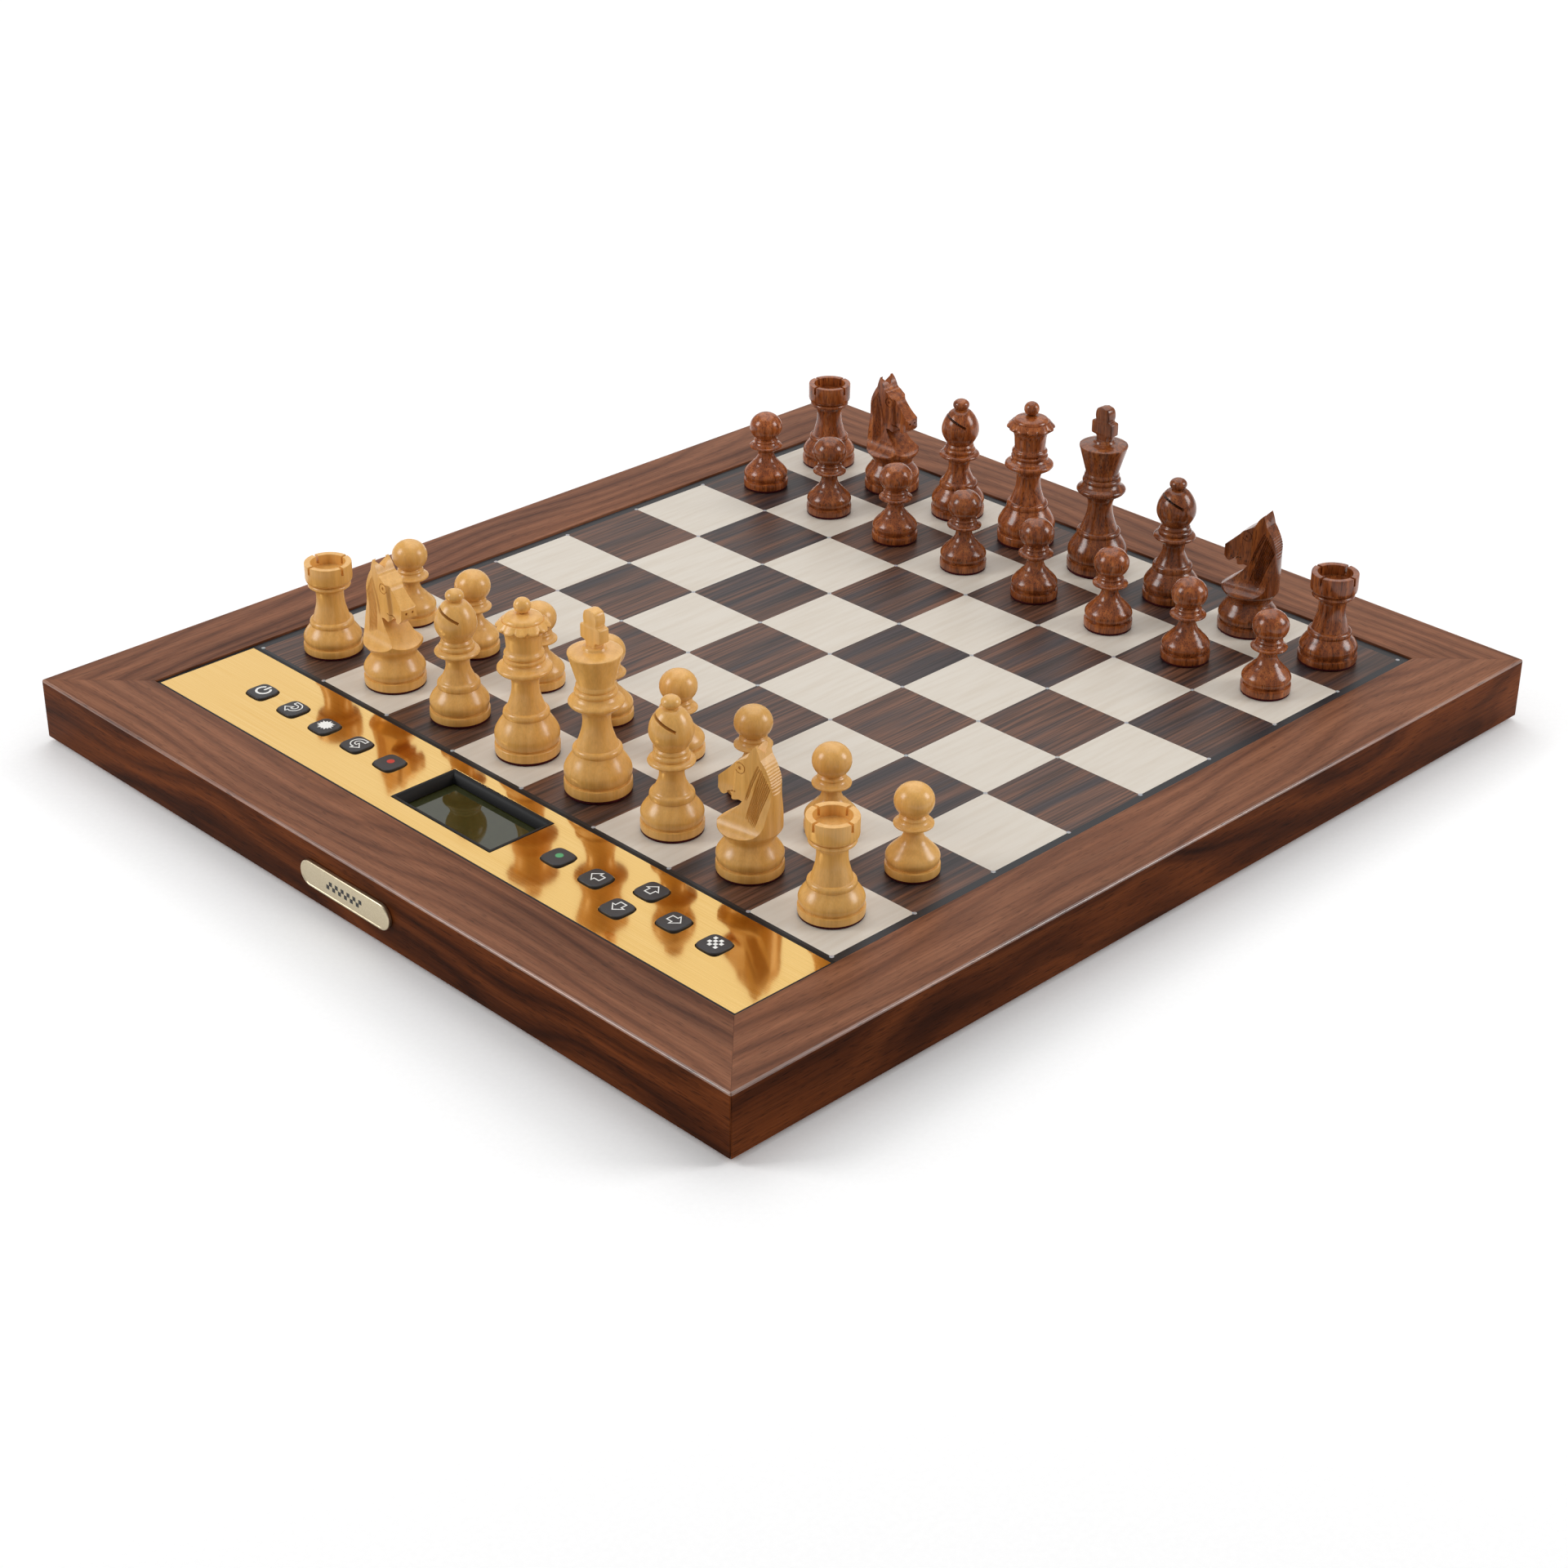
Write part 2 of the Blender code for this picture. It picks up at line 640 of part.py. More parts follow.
def make_badge():
    """A blank badge with round ends on the front rail."""
    radius = BADGE_HEIGHT / 2
    reach = BADGE_LENGTH / 2 - radius
    back = -CASE_DEPTH / 2 - GAP
    front = back - BADGE_THICKNESS
    middle = CASE_BOTTOM + CASE_HEIGHT / 2

    def outline(y, inset):
        points = []
        for side, start in ((1, -90), (-1, 90)):
            for k in range(BADGE_ARC_STEPS + 1):
                angle = math.radians(start + 180 * k / BADGE_ARC_STEPS)
                across = side * reach + (radius - inset) * math.cos(angle)
                points.append((across, y, middle + (radius - inset) * math.sin(angle)))
        return points

    bm = bmesh.new()
    levels = ((back, 0.0), (front + BADGE_EDGE, 0.0), (front, BADGE_EDGE))
    add_loft(bm, [outline(y, inset) for y, inset in levels])
    add_part("name_badge", smooth(mesh_from("name_badge", bm), 30), "nickel")


make_case()
make_board_and_panel()
make_keys()
make_display()
make_electronics()
make_power_socket()
make_badge()
make_set()
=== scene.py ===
import math
import random

import bmesh
import bpy
from mathutils import Matrix, Vector


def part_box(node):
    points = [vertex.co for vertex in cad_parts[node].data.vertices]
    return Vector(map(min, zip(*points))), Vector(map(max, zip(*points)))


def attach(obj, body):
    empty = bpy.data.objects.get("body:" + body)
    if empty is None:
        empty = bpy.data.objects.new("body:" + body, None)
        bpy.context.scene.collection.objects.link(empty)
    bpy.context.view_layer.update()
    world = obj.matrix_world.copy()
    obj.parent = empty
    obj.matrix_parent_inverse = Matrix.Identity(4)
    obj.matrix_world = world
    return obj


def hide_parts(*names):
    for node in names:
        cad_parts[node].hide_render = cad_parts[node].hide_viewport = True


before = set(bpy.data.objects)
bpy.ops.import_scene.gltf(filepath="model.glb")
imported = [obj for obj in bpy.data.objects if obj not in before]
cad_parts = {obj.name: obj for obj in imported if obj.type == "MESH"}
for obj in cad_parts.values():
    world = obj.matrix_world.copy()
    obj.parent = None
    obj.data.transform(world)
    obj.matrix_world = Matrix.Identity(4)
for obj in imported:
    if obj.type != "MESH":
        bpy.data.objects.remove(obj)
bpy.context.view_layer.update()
scene = bpy.context.scene
mm = 0.001
clearance = 0.3 * mm  # what the solids keep between one another
ringScale = 0.314  # metres between a wave texture's rings when its scale is 1

for leftOver in ("Cube", "Camera", "Light"):
    item = bpy.data.objects.get(leftOver)
    if item:
        bpy.data.objects.remove(item)


# small helpers

def hexToLinear(code):
    channels = [int(code[i:i + 2], 16) / 255 for i in (0, 2, 4)]
    linear = [c / 12.92 if c <= 0.04045 else ((c + 0.055) / 1.055) ** 2.4 for c in channels]
    return (*linear, 1.0)


def addNode(tree, kind, sockets=None, stops=None, **settings):
    # sockets holds values, or the outputs that feed them; stops are a ramp's places and colours
    node = tree.nodes.new("ShaderNode" + kind)
    for key, value in settings.items():
        setattr(node, key, value)
    for key, value in (sockets or {}).items():
        if isinstance(value, bpy.types.NodeSocket):
            tree.links.new(value, node.inputs[key])
        else:
            node.inputs[key].default_value = value
    if stops:
        elements = node.color_ramp.elements
        elements[0].position = stops[0][0]
        elements[1].position = stops[-1][0]
        middle = [elements.new(place) for place, code in stops[1:-1]]
        for element, (place, code) in zip([elements[0], *middle, elements[-1]], stops):
            element.color = hexToLinear(code)
    return node


def newTree(name):
    made = bpy.data.materials.new(name)
    made.use_nodes = True
    made.node_tree.nodes.clear()
    place = addNode(made.node_tree, "TexCoord").outputs["Object"]
    return made, made.node_tree, place


def stretched(tree, vector, factors):
    return addNode(tree, "VectorMath", {0: vector, 1: factors}, operation="MULTIPLY").outputs[0]


def grainNoise(tree, vector, factors, detail, **more):
    # noise drawn out along the grain: the factors are about how many patches lie in a metre
    drawn = stretched(tree, vector, factors)
    return addNode(tree, "TexNoise", {"Vector": drawn, "Scale": 1.0, "Detail": detail, **more})


def finishTree(tree, sockets):
    shader = addNode(tree, "BsdfPrincipled", sockets)
    addNode(tree, "OutputMaterial", {"Surface": shader.outputs[0]})


def newObject(name, mesh, *materials):
    item = bpy.data.objects.new(name, mesh)
    scene.collection.objects.link(item)
    for slot, made in enumerate(materials):
        if slot < len(mesh.materials):
            mesh.materials[slot] = made
        else:
            mesh.materials.append(made)
    while len(mesh.materials) > len(materials):
        mesh.materials.pop()  # the empty slot that a cut leaves behind
    return item


def meshFrom(name, bm):
    bmesh.ops.recalc_face_normals(bm, faces=bm.faces)
    mesh = bpy.data.meshes.new(name)
    bm.to_mesh(mesh)
    bm.free()
    return mesh


def bakeObject(item):
    # the evaluated mesh of a helper, which is then removed with what it was cut by
    bpy.context.view_layer.update()
    graph = bpy.context.evaluated_depsgraph_get()
    mesh = bpy.data.meshes.new_from_object(item.evaluated_get(graph))
    others = [step.object for step in item.modifiers if step.type == "BOOLEAN"]
    for used in others + [item]:
        bpy.data.objects.remove(used)
    return mesh


def combine(item, mesh, operation):
    # the manifold solver is the quick one, and every mesh here is closed
    other = newObject("cutter", mesh)
    step = item.modifiers.new(operation, "BOOLEAN")
    step.operation = operation
    step.solver = "MANIFOLD"
    step.object = other


def smoothed(mesh, degrees=40):
    mesh.shade_smooth()
    mesh.set_sharp_from_angle(angle=math.radians(degrees))
    return mesh


def loft(bm, sections, ring=False, caps=True):
    # skins equal loops of points, and returns the faces of each step
    loops = [[bm.verts.new(point) for point in section] for section in sections]
    following = loops[1:] + loops[:1] if ring else loops[1:]
    steps = []
    for lower, upper in zip(loops, following):
        count = len(lower)
        steps.append([
            bm.faces.new((lower[i], lower[(i + 1) % count], upper[(i + 1) % count], upper[i]))
            for i in range(count)
        ])
    if caps and not ring:
        bm.faces.new(loops[0])
        bm.faces.new(loops[-1])
    return steps


def squircle(side, z, centre=(0, 0), power=4.2, points=48):
    loop = []
    for k in range(points):
        angle = 2 * math.pi * (k + 0.5) / points
        cosine, sine = math.cos(angle), math.sin(angle)
        reach = side / 2 / (abs(cosine) ** power + abs(sine) ** power) ** (1 / power)
        loop.append((centre[0] + reach * cosine, centre[1] + reach * sine, z))
    return loop


def roundedRectangle(width, depth, radius, z, centre=(0, 0), steps=6):
    loop = []
    for quarter, (i, j) in enumerate(((1, 1), (-1, 1), (-1, -1), (1, -1))):
        for k in range(steps + 1):
            angle = math.pi / 2 * (quarter + k / steps)
            x = centre[0] + i * (width / 2 - radius) + radius * math.cos(angle)
            y = centre[1] + j * (depth / 2 - radius) + radius * math.sin(angle)
            loop.append((x, y, z))
    return loop


def flatCurve(name, loops, thickness, edge=0.0, fill="BOTH"):
    # a flat plate, or a flat drawing, from closed loops of x and y
    curve = bpy.data.curves.new(name, "CURVE")
    curve.dimensions = "2D"
    curve.fill_mode = fill
    curve.extrude = thickness / 2 - edge
    curve.bevel_depth = edge
    curve.bevel_resolution = 2
    curve.offset = -edge
    for loop in loops:
        spline = curve.splines.new("POLY")
        spline.points.add(len(loop) - 1)
        for point, place in zip(spline.points, loop):
            point.co = (place[0], place[1], 0.0, 1.0)
        spline.use_cyclic_u = True
    item = bpy.data.objects.new(name, curve)
    scene.collection.objects.link(item)
    bm = bmesh.new()
    bm.from_mesh(bakeObject(item))
    bmesh.ops.remove_doubles(bm, verts=bm.verts, dist=0.001 * mm)
    return meshFrom(name, bm)


# finishes

woodLooks = {
    # ringMm is the spacing of the growth rings; driftMm is how far they wander along the board
    "walnutTop": {"dark": "4c2b1d", "mid": "7b4d35", "light": "946246", "ringMm": 7.5, "figure": 0.38,
                  "driftMm": 34, "streak": 0.28, "pore": 0.38, "roughness": 0.45, "gloss": 0.12},
    # the outer faces and bottom edge: the same walnut, darker and redder; the darkness is partly painted
    # shade of the upright faces, partly the veneer's own more open, redder grain
    "walnutSideWithPaintedShade": {"dark": "2c1206", "mid": "54280f", "light": "763d1b", "ringMm": 6.0, "figure": 0.5,
                   "driftMm": 26, "streak": 0.36, "pore": 0.50, "roughness": 0.45, "gloss": 0.03},
    # the rounded top edge: the same walnut, glossier, in lighter colours that are a painted highlight along
    # the edge
    "walnutEdgePaintedHighlight": {"dark": "5a3426", "mid": "8a5c45", "light": "a87a60", "ringMm": 6.0, "figure": 0.4,
                   "driftMm": 26, "streak": 0.50, "pore": 0.70, "roughness": 0.30, "gloss": 1.0},
}


def walnutVeneer(name, look):
    # lacquered walnut veneer: grey-brown with dark veins, fine open pores and a low satin sheen
    made, tree, place = newTree(name)
    chance = addNode(tree, "ObjectInfo").outputs["Random"]
    shift = addNode(tree, "CombineXYZ", {"X": chance})
    spread = stretched(tree, shift.outputs[0], (37, 0, 0))
    grain = addNode(tree, "VectorMath", {0: place, 1: spread}, operation="ADD").outputs[0]

    drift = grainNoise(tree, grain, (4.5, 14, 14), 2.0)
    wander = addNode(tree, "MapRange", {
        "Value": drift.outputs["Fac"], "To Min": -look["driftMm"] * mm, "To Max": look["driftMm"] * mm,
    })
    aside = addNode(tree, "CombineXYZ", {"Y": wander.outputs[0], "Z": 45 * mm})
    squeezed = stretched(tree, grain, (0.05, 1, 1))
    bent = addNode(tree, "VectorMath", {0: squeezed, 1: aside.outputs[0]}, operation="ADD")
    rings = addNode(tree, "TexWave", {
        "Vector": bent.outputs[0], "Scale": ringScale / (look["ringMm"] * mm), "Distortion": 3.5,
        "Detail": 3.0, "Detail Scale": 0.5, "Detail Roughness": 0.7,
    }, wave_type="RINGS", rings_direction="X")
    figure = addNode(tree, "ValToRGB", {"Fac": rings.outputs["Fac"]}, stops=[
        (0.0, look["light"]), (0.45, look["mid"]), (0.8, look["mid"]), (1.0, look["dark"]),
    ])

    cloud = grainNoise(tree, grain, (7, 60, 60), 3.0)
    patches = addNode(tree, "ValToRGB", {"Fac": cloud.outputs["Fac"]}, stops=[
        (0.3, look["dark"]), (0.52, look["mid"]), (0.75, look["light"]),
    ])
    base = addNode(tree, "MixRGB", {
        "Fac": look["figure"], "Color1": patches.outputs[0], "Color2": figure.outputs[0],
    })

    streaks = grainNoise(tree, grain, (16, 1100, 1100), 4.0, Roughness=0.65)
    shade = addNode(tree, "MapRange", {
        "Value": streaks.outputs["Fac"], "From Min": 0.3, "From Max": 0.7,
        "To Min": 1 - look["streak"], "To Max": 1 + look["streak"] * 0.5,
    })
    pores = grainNoise(tree, grain, (190, 2300, 2300), 1.0)
    holes = addNode(tree, "MapRange", {
        "Value": pores.outputs["Fac"], "From Min": 0.58, "From Max": 0.72,
        "To Min": 1.0, "To Max": 1 - look["pore"],
    })
    both = addNode(tree, "Math", {0: shade.outputs[0], 1: holes.outputs[0]}, operation="MULTIPLY")
    tone = addNode(tree, "VectorMath", {0: base.outputs[0], "Scale": both.outputs[0]}, operation="SCALE")
    bump = addNode(tree, "Bump", {
        "Height": both.outputs[0], "Strength": 0.25, "Distance": 0.08 * mm,
    })
    finishTree(tree, {
        "Base Color": tone.outputs[0], "Roughness": look["roughness"], "IOR": 1.5,
        "Specular IOR Level": look["gloss"], "Normal": bump.outputs[0],
    })
    return made


turnedLooks = {
    "lightWood": {"dark": "cb964c", "mid": "dda759", "light": "e7b86f", "ringMm": 3.2, "figure": 0.22,
                  "patch": 0.25, "pore": 0.05, "streak": 0.07, "vary": 0.10, "roughness": 0.27},
    "darkWood": {"dark": "46190a", "mid": "8e491f", "light": "bd7038", "ringMm": 2.6, "figure": 0.20,
                 "patch": 0.55, "pore": 0.60, "streak": 0.26, "vary": 0.38, "roughness": 0.20},
}


def turnedHardwood(name, look):
    # waxed and polished turned wood: upright grain, growth rings that show as loops on the bells
    made, tree, place = newTree(name)
    chance = addNode(tree, "ObjectInfo").outputs["Random"]
    many = addNode(tree, "TexWhiteNoise", {"W": chance}, noise_dimensions="1D")
    away = stretched(tree, many.outputs["Color"], (40 * mm, 40 * mm, 0.9))
    grain = addNode(tree, "VectorMath", {0: place, 1: away}, operation="ADD").outputs[0]

    drift = grainNoise(tree, grain, (30, 30, 11), 2.0)
    wander = addNode(tree, "VectorMath", {0: drift.outputs["Color"], "Scale": 14 * mm}, operation="SCALE")
    bent = addNode(tree, "VectorMath", {0: grain, 1: wander.outputs[0]}, operation="ADD")
    rings = addNode(tree, "TexWave", {
        "Vector": stretched(tree, bent.outputs[0], (1, 1, 0.12)),
        "Scale": ringScale / (look["ringMm"] * mm), "Distortion": 1.2,
        "Detail": 2.0, "Detail Scale": 1.0,
    }, wave_type="RINGS", rings_direction="Z")
    figure = addNode(tree, "ValToRGB", {"Fac": rings.outputs["Fac"]}, stops=[
        (0.0, look["light"]), (0.5, look["mid"]), (1.0, look["dark"]),
    ])
    cloud = grainNoise(tree, bent.outputs[0], (330, 330, 42), 4.0, Roughness=0.6, Distortion=0.5)
    patches = addNode(tree, "ValToRGB", {"Fac": cloud.outputs["Fac"]}, stops=[
        (0.32, look["dark"]), (0.5, look["mid"]), (0.68, look["light"]),
    ])
    streaks = grainNoise(tree, grain, (1500, 1500, 45), 3.0)
    shade = addNode(tree, "MapRange", {
        "Value": streaks.outputs["Fac"], "From Min": 0.3, "From Max": 0.7,
        "To Min": 1 - look["streak"], "To Max": 1 + look["streak"] * 0.6,
    })
    pores = grainNoise(tree, grain, (2600, 2600, 330), 0.0)
    holes = addNode(tree, "MapRange", {
        "Value": pores.outputs["Fac"], "From Min": 0.6, "From Max": 0.72,
        "To Min": 1.0, "To Max": 1 - look["pore"],
    })
    both = addNode(tree, "Math", {0: shade.outputs[0], 1: holes.outputs[0]}, operation="MULTIPLY")
    plank = addNode(tree, "MapRange", {
        "Value": many.outputs["Value"], "To Min": 1 - look["vary"], "To Max": 1 + look["vary"] * 0.6,
    })
    total = addNode(tree, "Math", {0: both.outputs[0], 1: plank.outputs[0]}, operation="MULTIPLY")
    softer = addNode(tree, "MixRGB", {
        "Fac": look["figure"], "Color1": hexToLinear(look["mid"]), "Color2": figure.outputs[0],
    })
    mottled = addNode(tree, "MixRGB", {
        "Fac": look["patch"], "Color1": softer.outputs[0], "Color2": patches.outputs[0],
    })
    tone = addNode(tree, "VectorMath", {
        0: mottled.outputs[0], "Scale": total.outputs[0],
    }, operation="SCALE")
    bump = addNode(tree, "Bump", {
        "Height": both.outputs[0], "Strength": 0.12, "Distance": 0.05 * mm,
    })
    finishTree(tree, {
        "Base Color": tone.outputs[0], "Roughness": look["roughness"], "IOR": 1.5,
        "Normal": bump.outputs[0],
    })
    return made


boardLook = {
    "maple": "cec6ba", "mapleDark": "c8beb0", "rosewood": "4a332a", "rosewoodRed": "623f2d",
    "rosewoodInk": "332829", "border": "17161a", "squareMm": 40.0,
}


def boardVeneer(name, look, corner):
    # printed and lacquered veneer: pale maple and streaky rosewood squares in a black field
    made, tree, place = newTree(name)
    fromCorner = addNode(tree, "VectorMath", {
        0: place, 1: (corner[0], corner[1], 0),
    }, operation="SUBTRACT")
    cells = addNode(tree, "VectorMath", {
        0: fromCorner.outputs[0], "Scale": 1 / (look["squareMm"] * mm),
    }, operation="SCALE")
    whole = addNode(tree, "VectorMath", {0: cells.outputs[0]}, operation="FLOOR")
    index = addNode(tree, "SeparateXYZ", {0: whole.outputs[0]})
    both = addNode(tree, "Math", {0: index.outputs["X"], 1: index.outputs["Y"]}, operation="ADD")
    pale = addNode(tree, "Math", {0: both.outputs[0], 1: 2.0}, operation="FLOORED_MODULO")
    flat = addNode(tree, "CombineXYZ", {"X": index.outputs["X"], "Y": index.outputs["Y"]})
    chance = addNode(tree, "TexWhiteNoise", {"Vector": flat.outputs[0]}, noise_dimensions="2D")
    jump = addNode(tree, "VectorMath", {0: chance.outputs["Color"], "Scale": 9.0}, operation="SCALE")
    grain = addNode(tree, "VectorMath", {0: place, 1: jump.outputs[0]}, operation="ADD").outputs[0]

    # every square of rosewood is its own leaf, with broad ink-dark and red bands along it
    bands = grainNoise(tree, grain, (150, 9, 1), 4.0, Roughness=0.55, Distortion=0.4)
    lean = addNode(tree, "MapRange", {
        "Value": chance.outputs["Value"], "To Min": -0.07, "To Max": 0.07,
    })
    level = addNode(tree, "Math", {0: bands.outputs["Fac"], 1: lean.outputs[0]}, operation="ADD")
    leaf = addNode(tree, "ValToRGB", {"Fac": level.outputs[0]}, stops=[
        (0.36, look["rosewoodInk"]), (0.47, look["rosewood"]), (0.60, look["rosewoodRed"]),
        (0.70, look["rosewood"]),
    ])
    lines = grainNoise(tree, grain, (1150, 20, 1), 3.0)
    shade = addNode(tree, "MapRange", {
        "Value": lines.outputs["Fac"], "From Min": 0.34, "From Max": 0.66, "To Min": 0.38, "To Max": 1.45,
    })
    dark = addNode(tree, "VectorMath", {0: leaf.outputs[0], "Scale": shade.outputs[0]}, operation="SCALE")

    silk = grainNoise(tree, grain, (420, 30, 1), 4.0)
    light = addNode(tree, "ValToRGB", {"Fac": silk.outputs["Fac"]}, stops=[
        (0.3, look["mapleDark"]), (0.6, look["maple"]),
    ])
    squares = addNode(tree, "MixRGB", {
        "Fac": pale.outputs[0], "Color1": dark.outputs[0], "Color2": light.outputs[0],
    })

    # a point is inside the field where it lies within four cells of the middle both ways
    inside = []
    spans = addNode(tree, "SeparateXYZ", {0: cells.outputs[0]})
    for axis in ("X", "Y"):
        centred = addNode(tree, "Math", {0: spans.outputs[axis], 1: 4.0}, operation="SUBTRACT")
        reach = addNode(tree, "Math", {0: centred.outputs[0]}, operation="ABSOLUTE")
        inside.append(addNode(tree, "Math", {0: reach.outputs[0], 1: 4.0}, operation="LESS_THAN"))
    field = addNode(tree, "Math", {
        0: inside[0].outputs[0], 1: inside[1].outputs[0],
    }, operation="MULTIPLY")
    colour = addNode(tree, "MixRGB", {
        "Fac": field.outputs[0], "Color1": hexToLinear(look["border"]), "Color2": squares.outputs[0],
    })
    bump = addNode(tree, "Bump", {"Height": lines.outputs["Fac"], "Strength": 0.15, "Distance": 0.05 * mm})
    finishTree(tree, {
        "Base Color": colour.outputs[0], "Roughness": 0.42, "IOR": 1.5, "Specular IOR Level": 0.35,
        "Normal": bump.outputs[0],
    })
    return made


def brushedGilt(name, look):
    # gold-anodised aluminium, brushed along the panel: a warm mirror that smears across the lines
    made, tree, place = newTree(name)
    lines = grainNoise(tree, place, (14, 3600, 1), 3.0, Roughness=0.6)
    colour = addNode(tree, "ValToRGB", {"Fac": lines.outputs["Fac"]}, stops=[
        (0.35, look["deep"]), (0.6, look["bright"]),
    ])
    polish = addNode(tree, "MapRange", {
        "Value": lines.outputs["Fac"], "From Min": 0.35, "From Max": 0.65,
        "To Min": look["roughness"] * 0.7, "To Max": look["roughness"] * 1.4,
    })
    bump = addNode(tree, "Bump", {
        "Height": lines.outputs["Fac"], "Strength": look["bump"], "Distance": 0.02 * mm,
    })
    finishTree(tree, {
        "Base Color": colour.outputs[0], "Metallic": 1.0, "Roughness": polish.outputs[0],
        "Normal": bump.outputs[0],
    })
    return made


def grainedSurface(name, code, second, grainMm, roughness, depthMm, **more):
    # a moulded, pressed or printed surface with a fine even texture of one size
    made, tree, place = newTree(name)
    speckle = addNode(tree, "TexNoise", {
        "Vector": place, "Scale": 1 / (grainMm * mm), "Detail": 2.0, "Roughness": 0.6,
    })
    colour = addNode(tree, "ValToRGB", {"Fac": speckle.outputs["Fac"]}, stops=[
        (0.35, second), (0.65, code),
    ])
    bump = addNode(tree, "Bump", {
        "Height": speckle.outputs["Fac"], "Strength": 0.5, "Distance": depthMm * mm,
    })
    finishTree(tree, {
        "Base Color": colour.outputs[0], "Roughness": roughness, "Normal": bump.outputs[0], **more,
    })
    return made


def circuitBoard(name):
    # green solder mask over copper tracks: a satin green with slightly lighter raised lines
    made, tree, place = newTree(name)
    tracks = addNode(tree, "TexBrick", {
        "Vector": place, "Scale": 1.0, "Brick Width": 22 * mm, "Row Height": 2.6 * mm,
        "Mortar Size": 0.4 * mm, "Color1": hexToLinear("0f4a2b"), "Color2": hexToLinear("124f30"),
        "Mortar": hexToLinear("1f6d43"),
    })
    bump = addNode(tree, "Bump", {"Height": tracks.outputs["Fac"], "Strength": 0.4, "Distance": 0.05 * mm})
    finishTree(tree, {
        "Base Color": tracks.outputs["Color"], "Roughness": 0.4, "Normal": bump.outputs[0],
    })
    return made


def displayGlass(name):
    # a liquid-crystal cell under float glass: olive dark, with a clear mirror on top
    made, tree, place = newTree(name)
    cells = addNode(tree, "TexNoise", {"Vector": place, "Scale": 900.0, "Detail": 1.0})
    colour = addNode(tree, "ValToRGB", {"Fac": cells.outputs["Fac"]}, stops=[
        (0.3, "2b2c12"), (0.7, "33351a"),
    ])
    finishTree(tree, {"Base Color": colour.outputs[0], "Roughness": 0.03, "IOR": 1.52})
    return made


finish = {
    "walnutTop": walnutVeneer("lacqueredWalnutVeneer", woodLooks["walnutTop"]),
    "walnutSideWithPaintedShade": walnutVeneer("openPoredWalnutVeneerWithPaintedShade", woodLooks["walnutSideWithPaintedShade"]),
    "walnutEdgePaintedHighlight": walnutVeneer("glossyWalnutEdgePaintedHighlight", woodLooks["walnutEdgePaintedHighlight"]),
    "gilt": brushedGilt("brushedGoldAnodisedAluminium", {
        "deep": "e3b768", "bright": "ebc47c", "roughness": 0.08, "bump": 0.02,
    }),
    "lightWood": turnedHardwood("polishedBoxwood", turnedLooks["lightWood"]),
    "darkWood": turnedHardwood("polishedSheesham", turnedLooks["darkWood"]),
    # silicone rubber keys: near black and matt, with the soft sheen of a fine mould
    "keyRubber": grainedSurface("mouldedSiliconeRubber", "302d2f", "262426", 0.25, 0.42, 0.01, IOR=1.43),
    # pad-printed ink: flat and opaque
    "whiteInk": grainedSurface("padPrintedWhiteInk", "eeeeea", "e2e2de", 0.3, 0.5, 0.004),
    "redInk": grainedSurface("padPrintedRedInk", "c42a14", "b02410", 0.3, 0.5, 0.004),
    "greenInk": grainedSurface("padPrintedGreenInk", "4fa36c", "459660", 0.3, 0.5, 0.004),
    "blackInk": grainedSurface("screenPrintedBlackInk", "1c1a18", "141312", 0.3, 0.45, 0.004),
    # spark-eroded ABS: black with a soft broken highlight
    "blackAbs": grainedSurface("mouldedBlackAbs", "0a0a0b", "060607", 0.3, 0.5, 0.012,
                               **{"Specular IOR Level": 0.25}),
    "glass": displayGlass("displayFloatGlass"),
    # bead-blasted nickel plate: a grey-gold satin with no clear reflections
    "nickel": grainedSurface("satinNickelPlate", "d5c8ac", "c9bb9c", 0.35, 0.30, 0.006, Metallic=1.0),
    # pressed wool felt: deep red, no shine, fibres that catch the light at the rim
    "felt": grainedSurface("pressedRedFelt", "4a0d14", "2c070b", 0.5, 0.95, 0.12,
                           **{"Specular IOR Level": 0.2}),
    # painted fibreboard: dead flat black-brown, with a faint pressed grain
    "fibreboard": grainedSurface("paintedFibreboard", "1f1c1b", "171514", 0.8, 0.7, 0.05),
    # moulded foot rubber: dull black that takes no clear highlight
    "footRubber": grainedSurface("mouldedFootRubber", "1b1b1c", "121213", 0.4, 0.75, 0.03),
    # zinc-plated steel: cool pale grey with a dull sheen
    "zinc": grainedSurface("zincPlatedSteel", "a9abad", "8f9194", 0.6, 0.35, 0.01, Metallic=1.0),
    # frosted acrylic light pipe: pale grey and slightly see-through
    "lens": grainedSurface("frostedAcrylic", "a9a9ac", "97979a", 0.3, 0.35, 0.01,
                           **{"Subsurface Weight": 0.3, "Subsurface Scale": 0.001}),
    "circuit": circuitBoard("greenSolderMask"),
}
print("finishes made:", len(finish))


# places read from the frame

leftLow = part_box("left_rail")[0]
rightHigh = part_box("right_rail")[1]
frontLow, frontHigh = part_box("front_rail")
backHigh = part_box("back_rail")[1]
boardLow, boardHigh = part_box("playing_board")
panelLow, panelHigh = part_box("control_panel")
caseWidth = rightHigh.x - leftLow.x
caseDepth = backHigh.y - frontLow.y
caseBottom = frontLow.z
caseTop = frontHigh.z
surface = boardHigh.z


def middleOf(node):
    low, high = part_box(node)
    return (low + high) / 2


firstSquare = middleOf("light_rook_a")
lastSquare = middleOf("dark_rook_h")
square = (lastSquare.x - firstSquare.x) / 7
fieldCorner = (firstSquare.x - square / 2, firstSquare.y - square / 2)
finish["board"] = boardVeneer("printedBoardVeneer", boardLook, fieldCorner)


# case

rail = {
    "topRadius": 0.9 * mm, "bottomRadius": 0.5 * mm, "innerRadius": 0.3 * mm, "cornerRadius": 0.8 * mm,
    "mitreGap": 0.04 * mm, "width": 31.4 * mm, "ledge": 5.0 * mm, "rebate": 24.0 * mm,
    "ledgeTop": boardLow.z - clearance, "baseTop": caseBottom + 3.3 * mm,
}


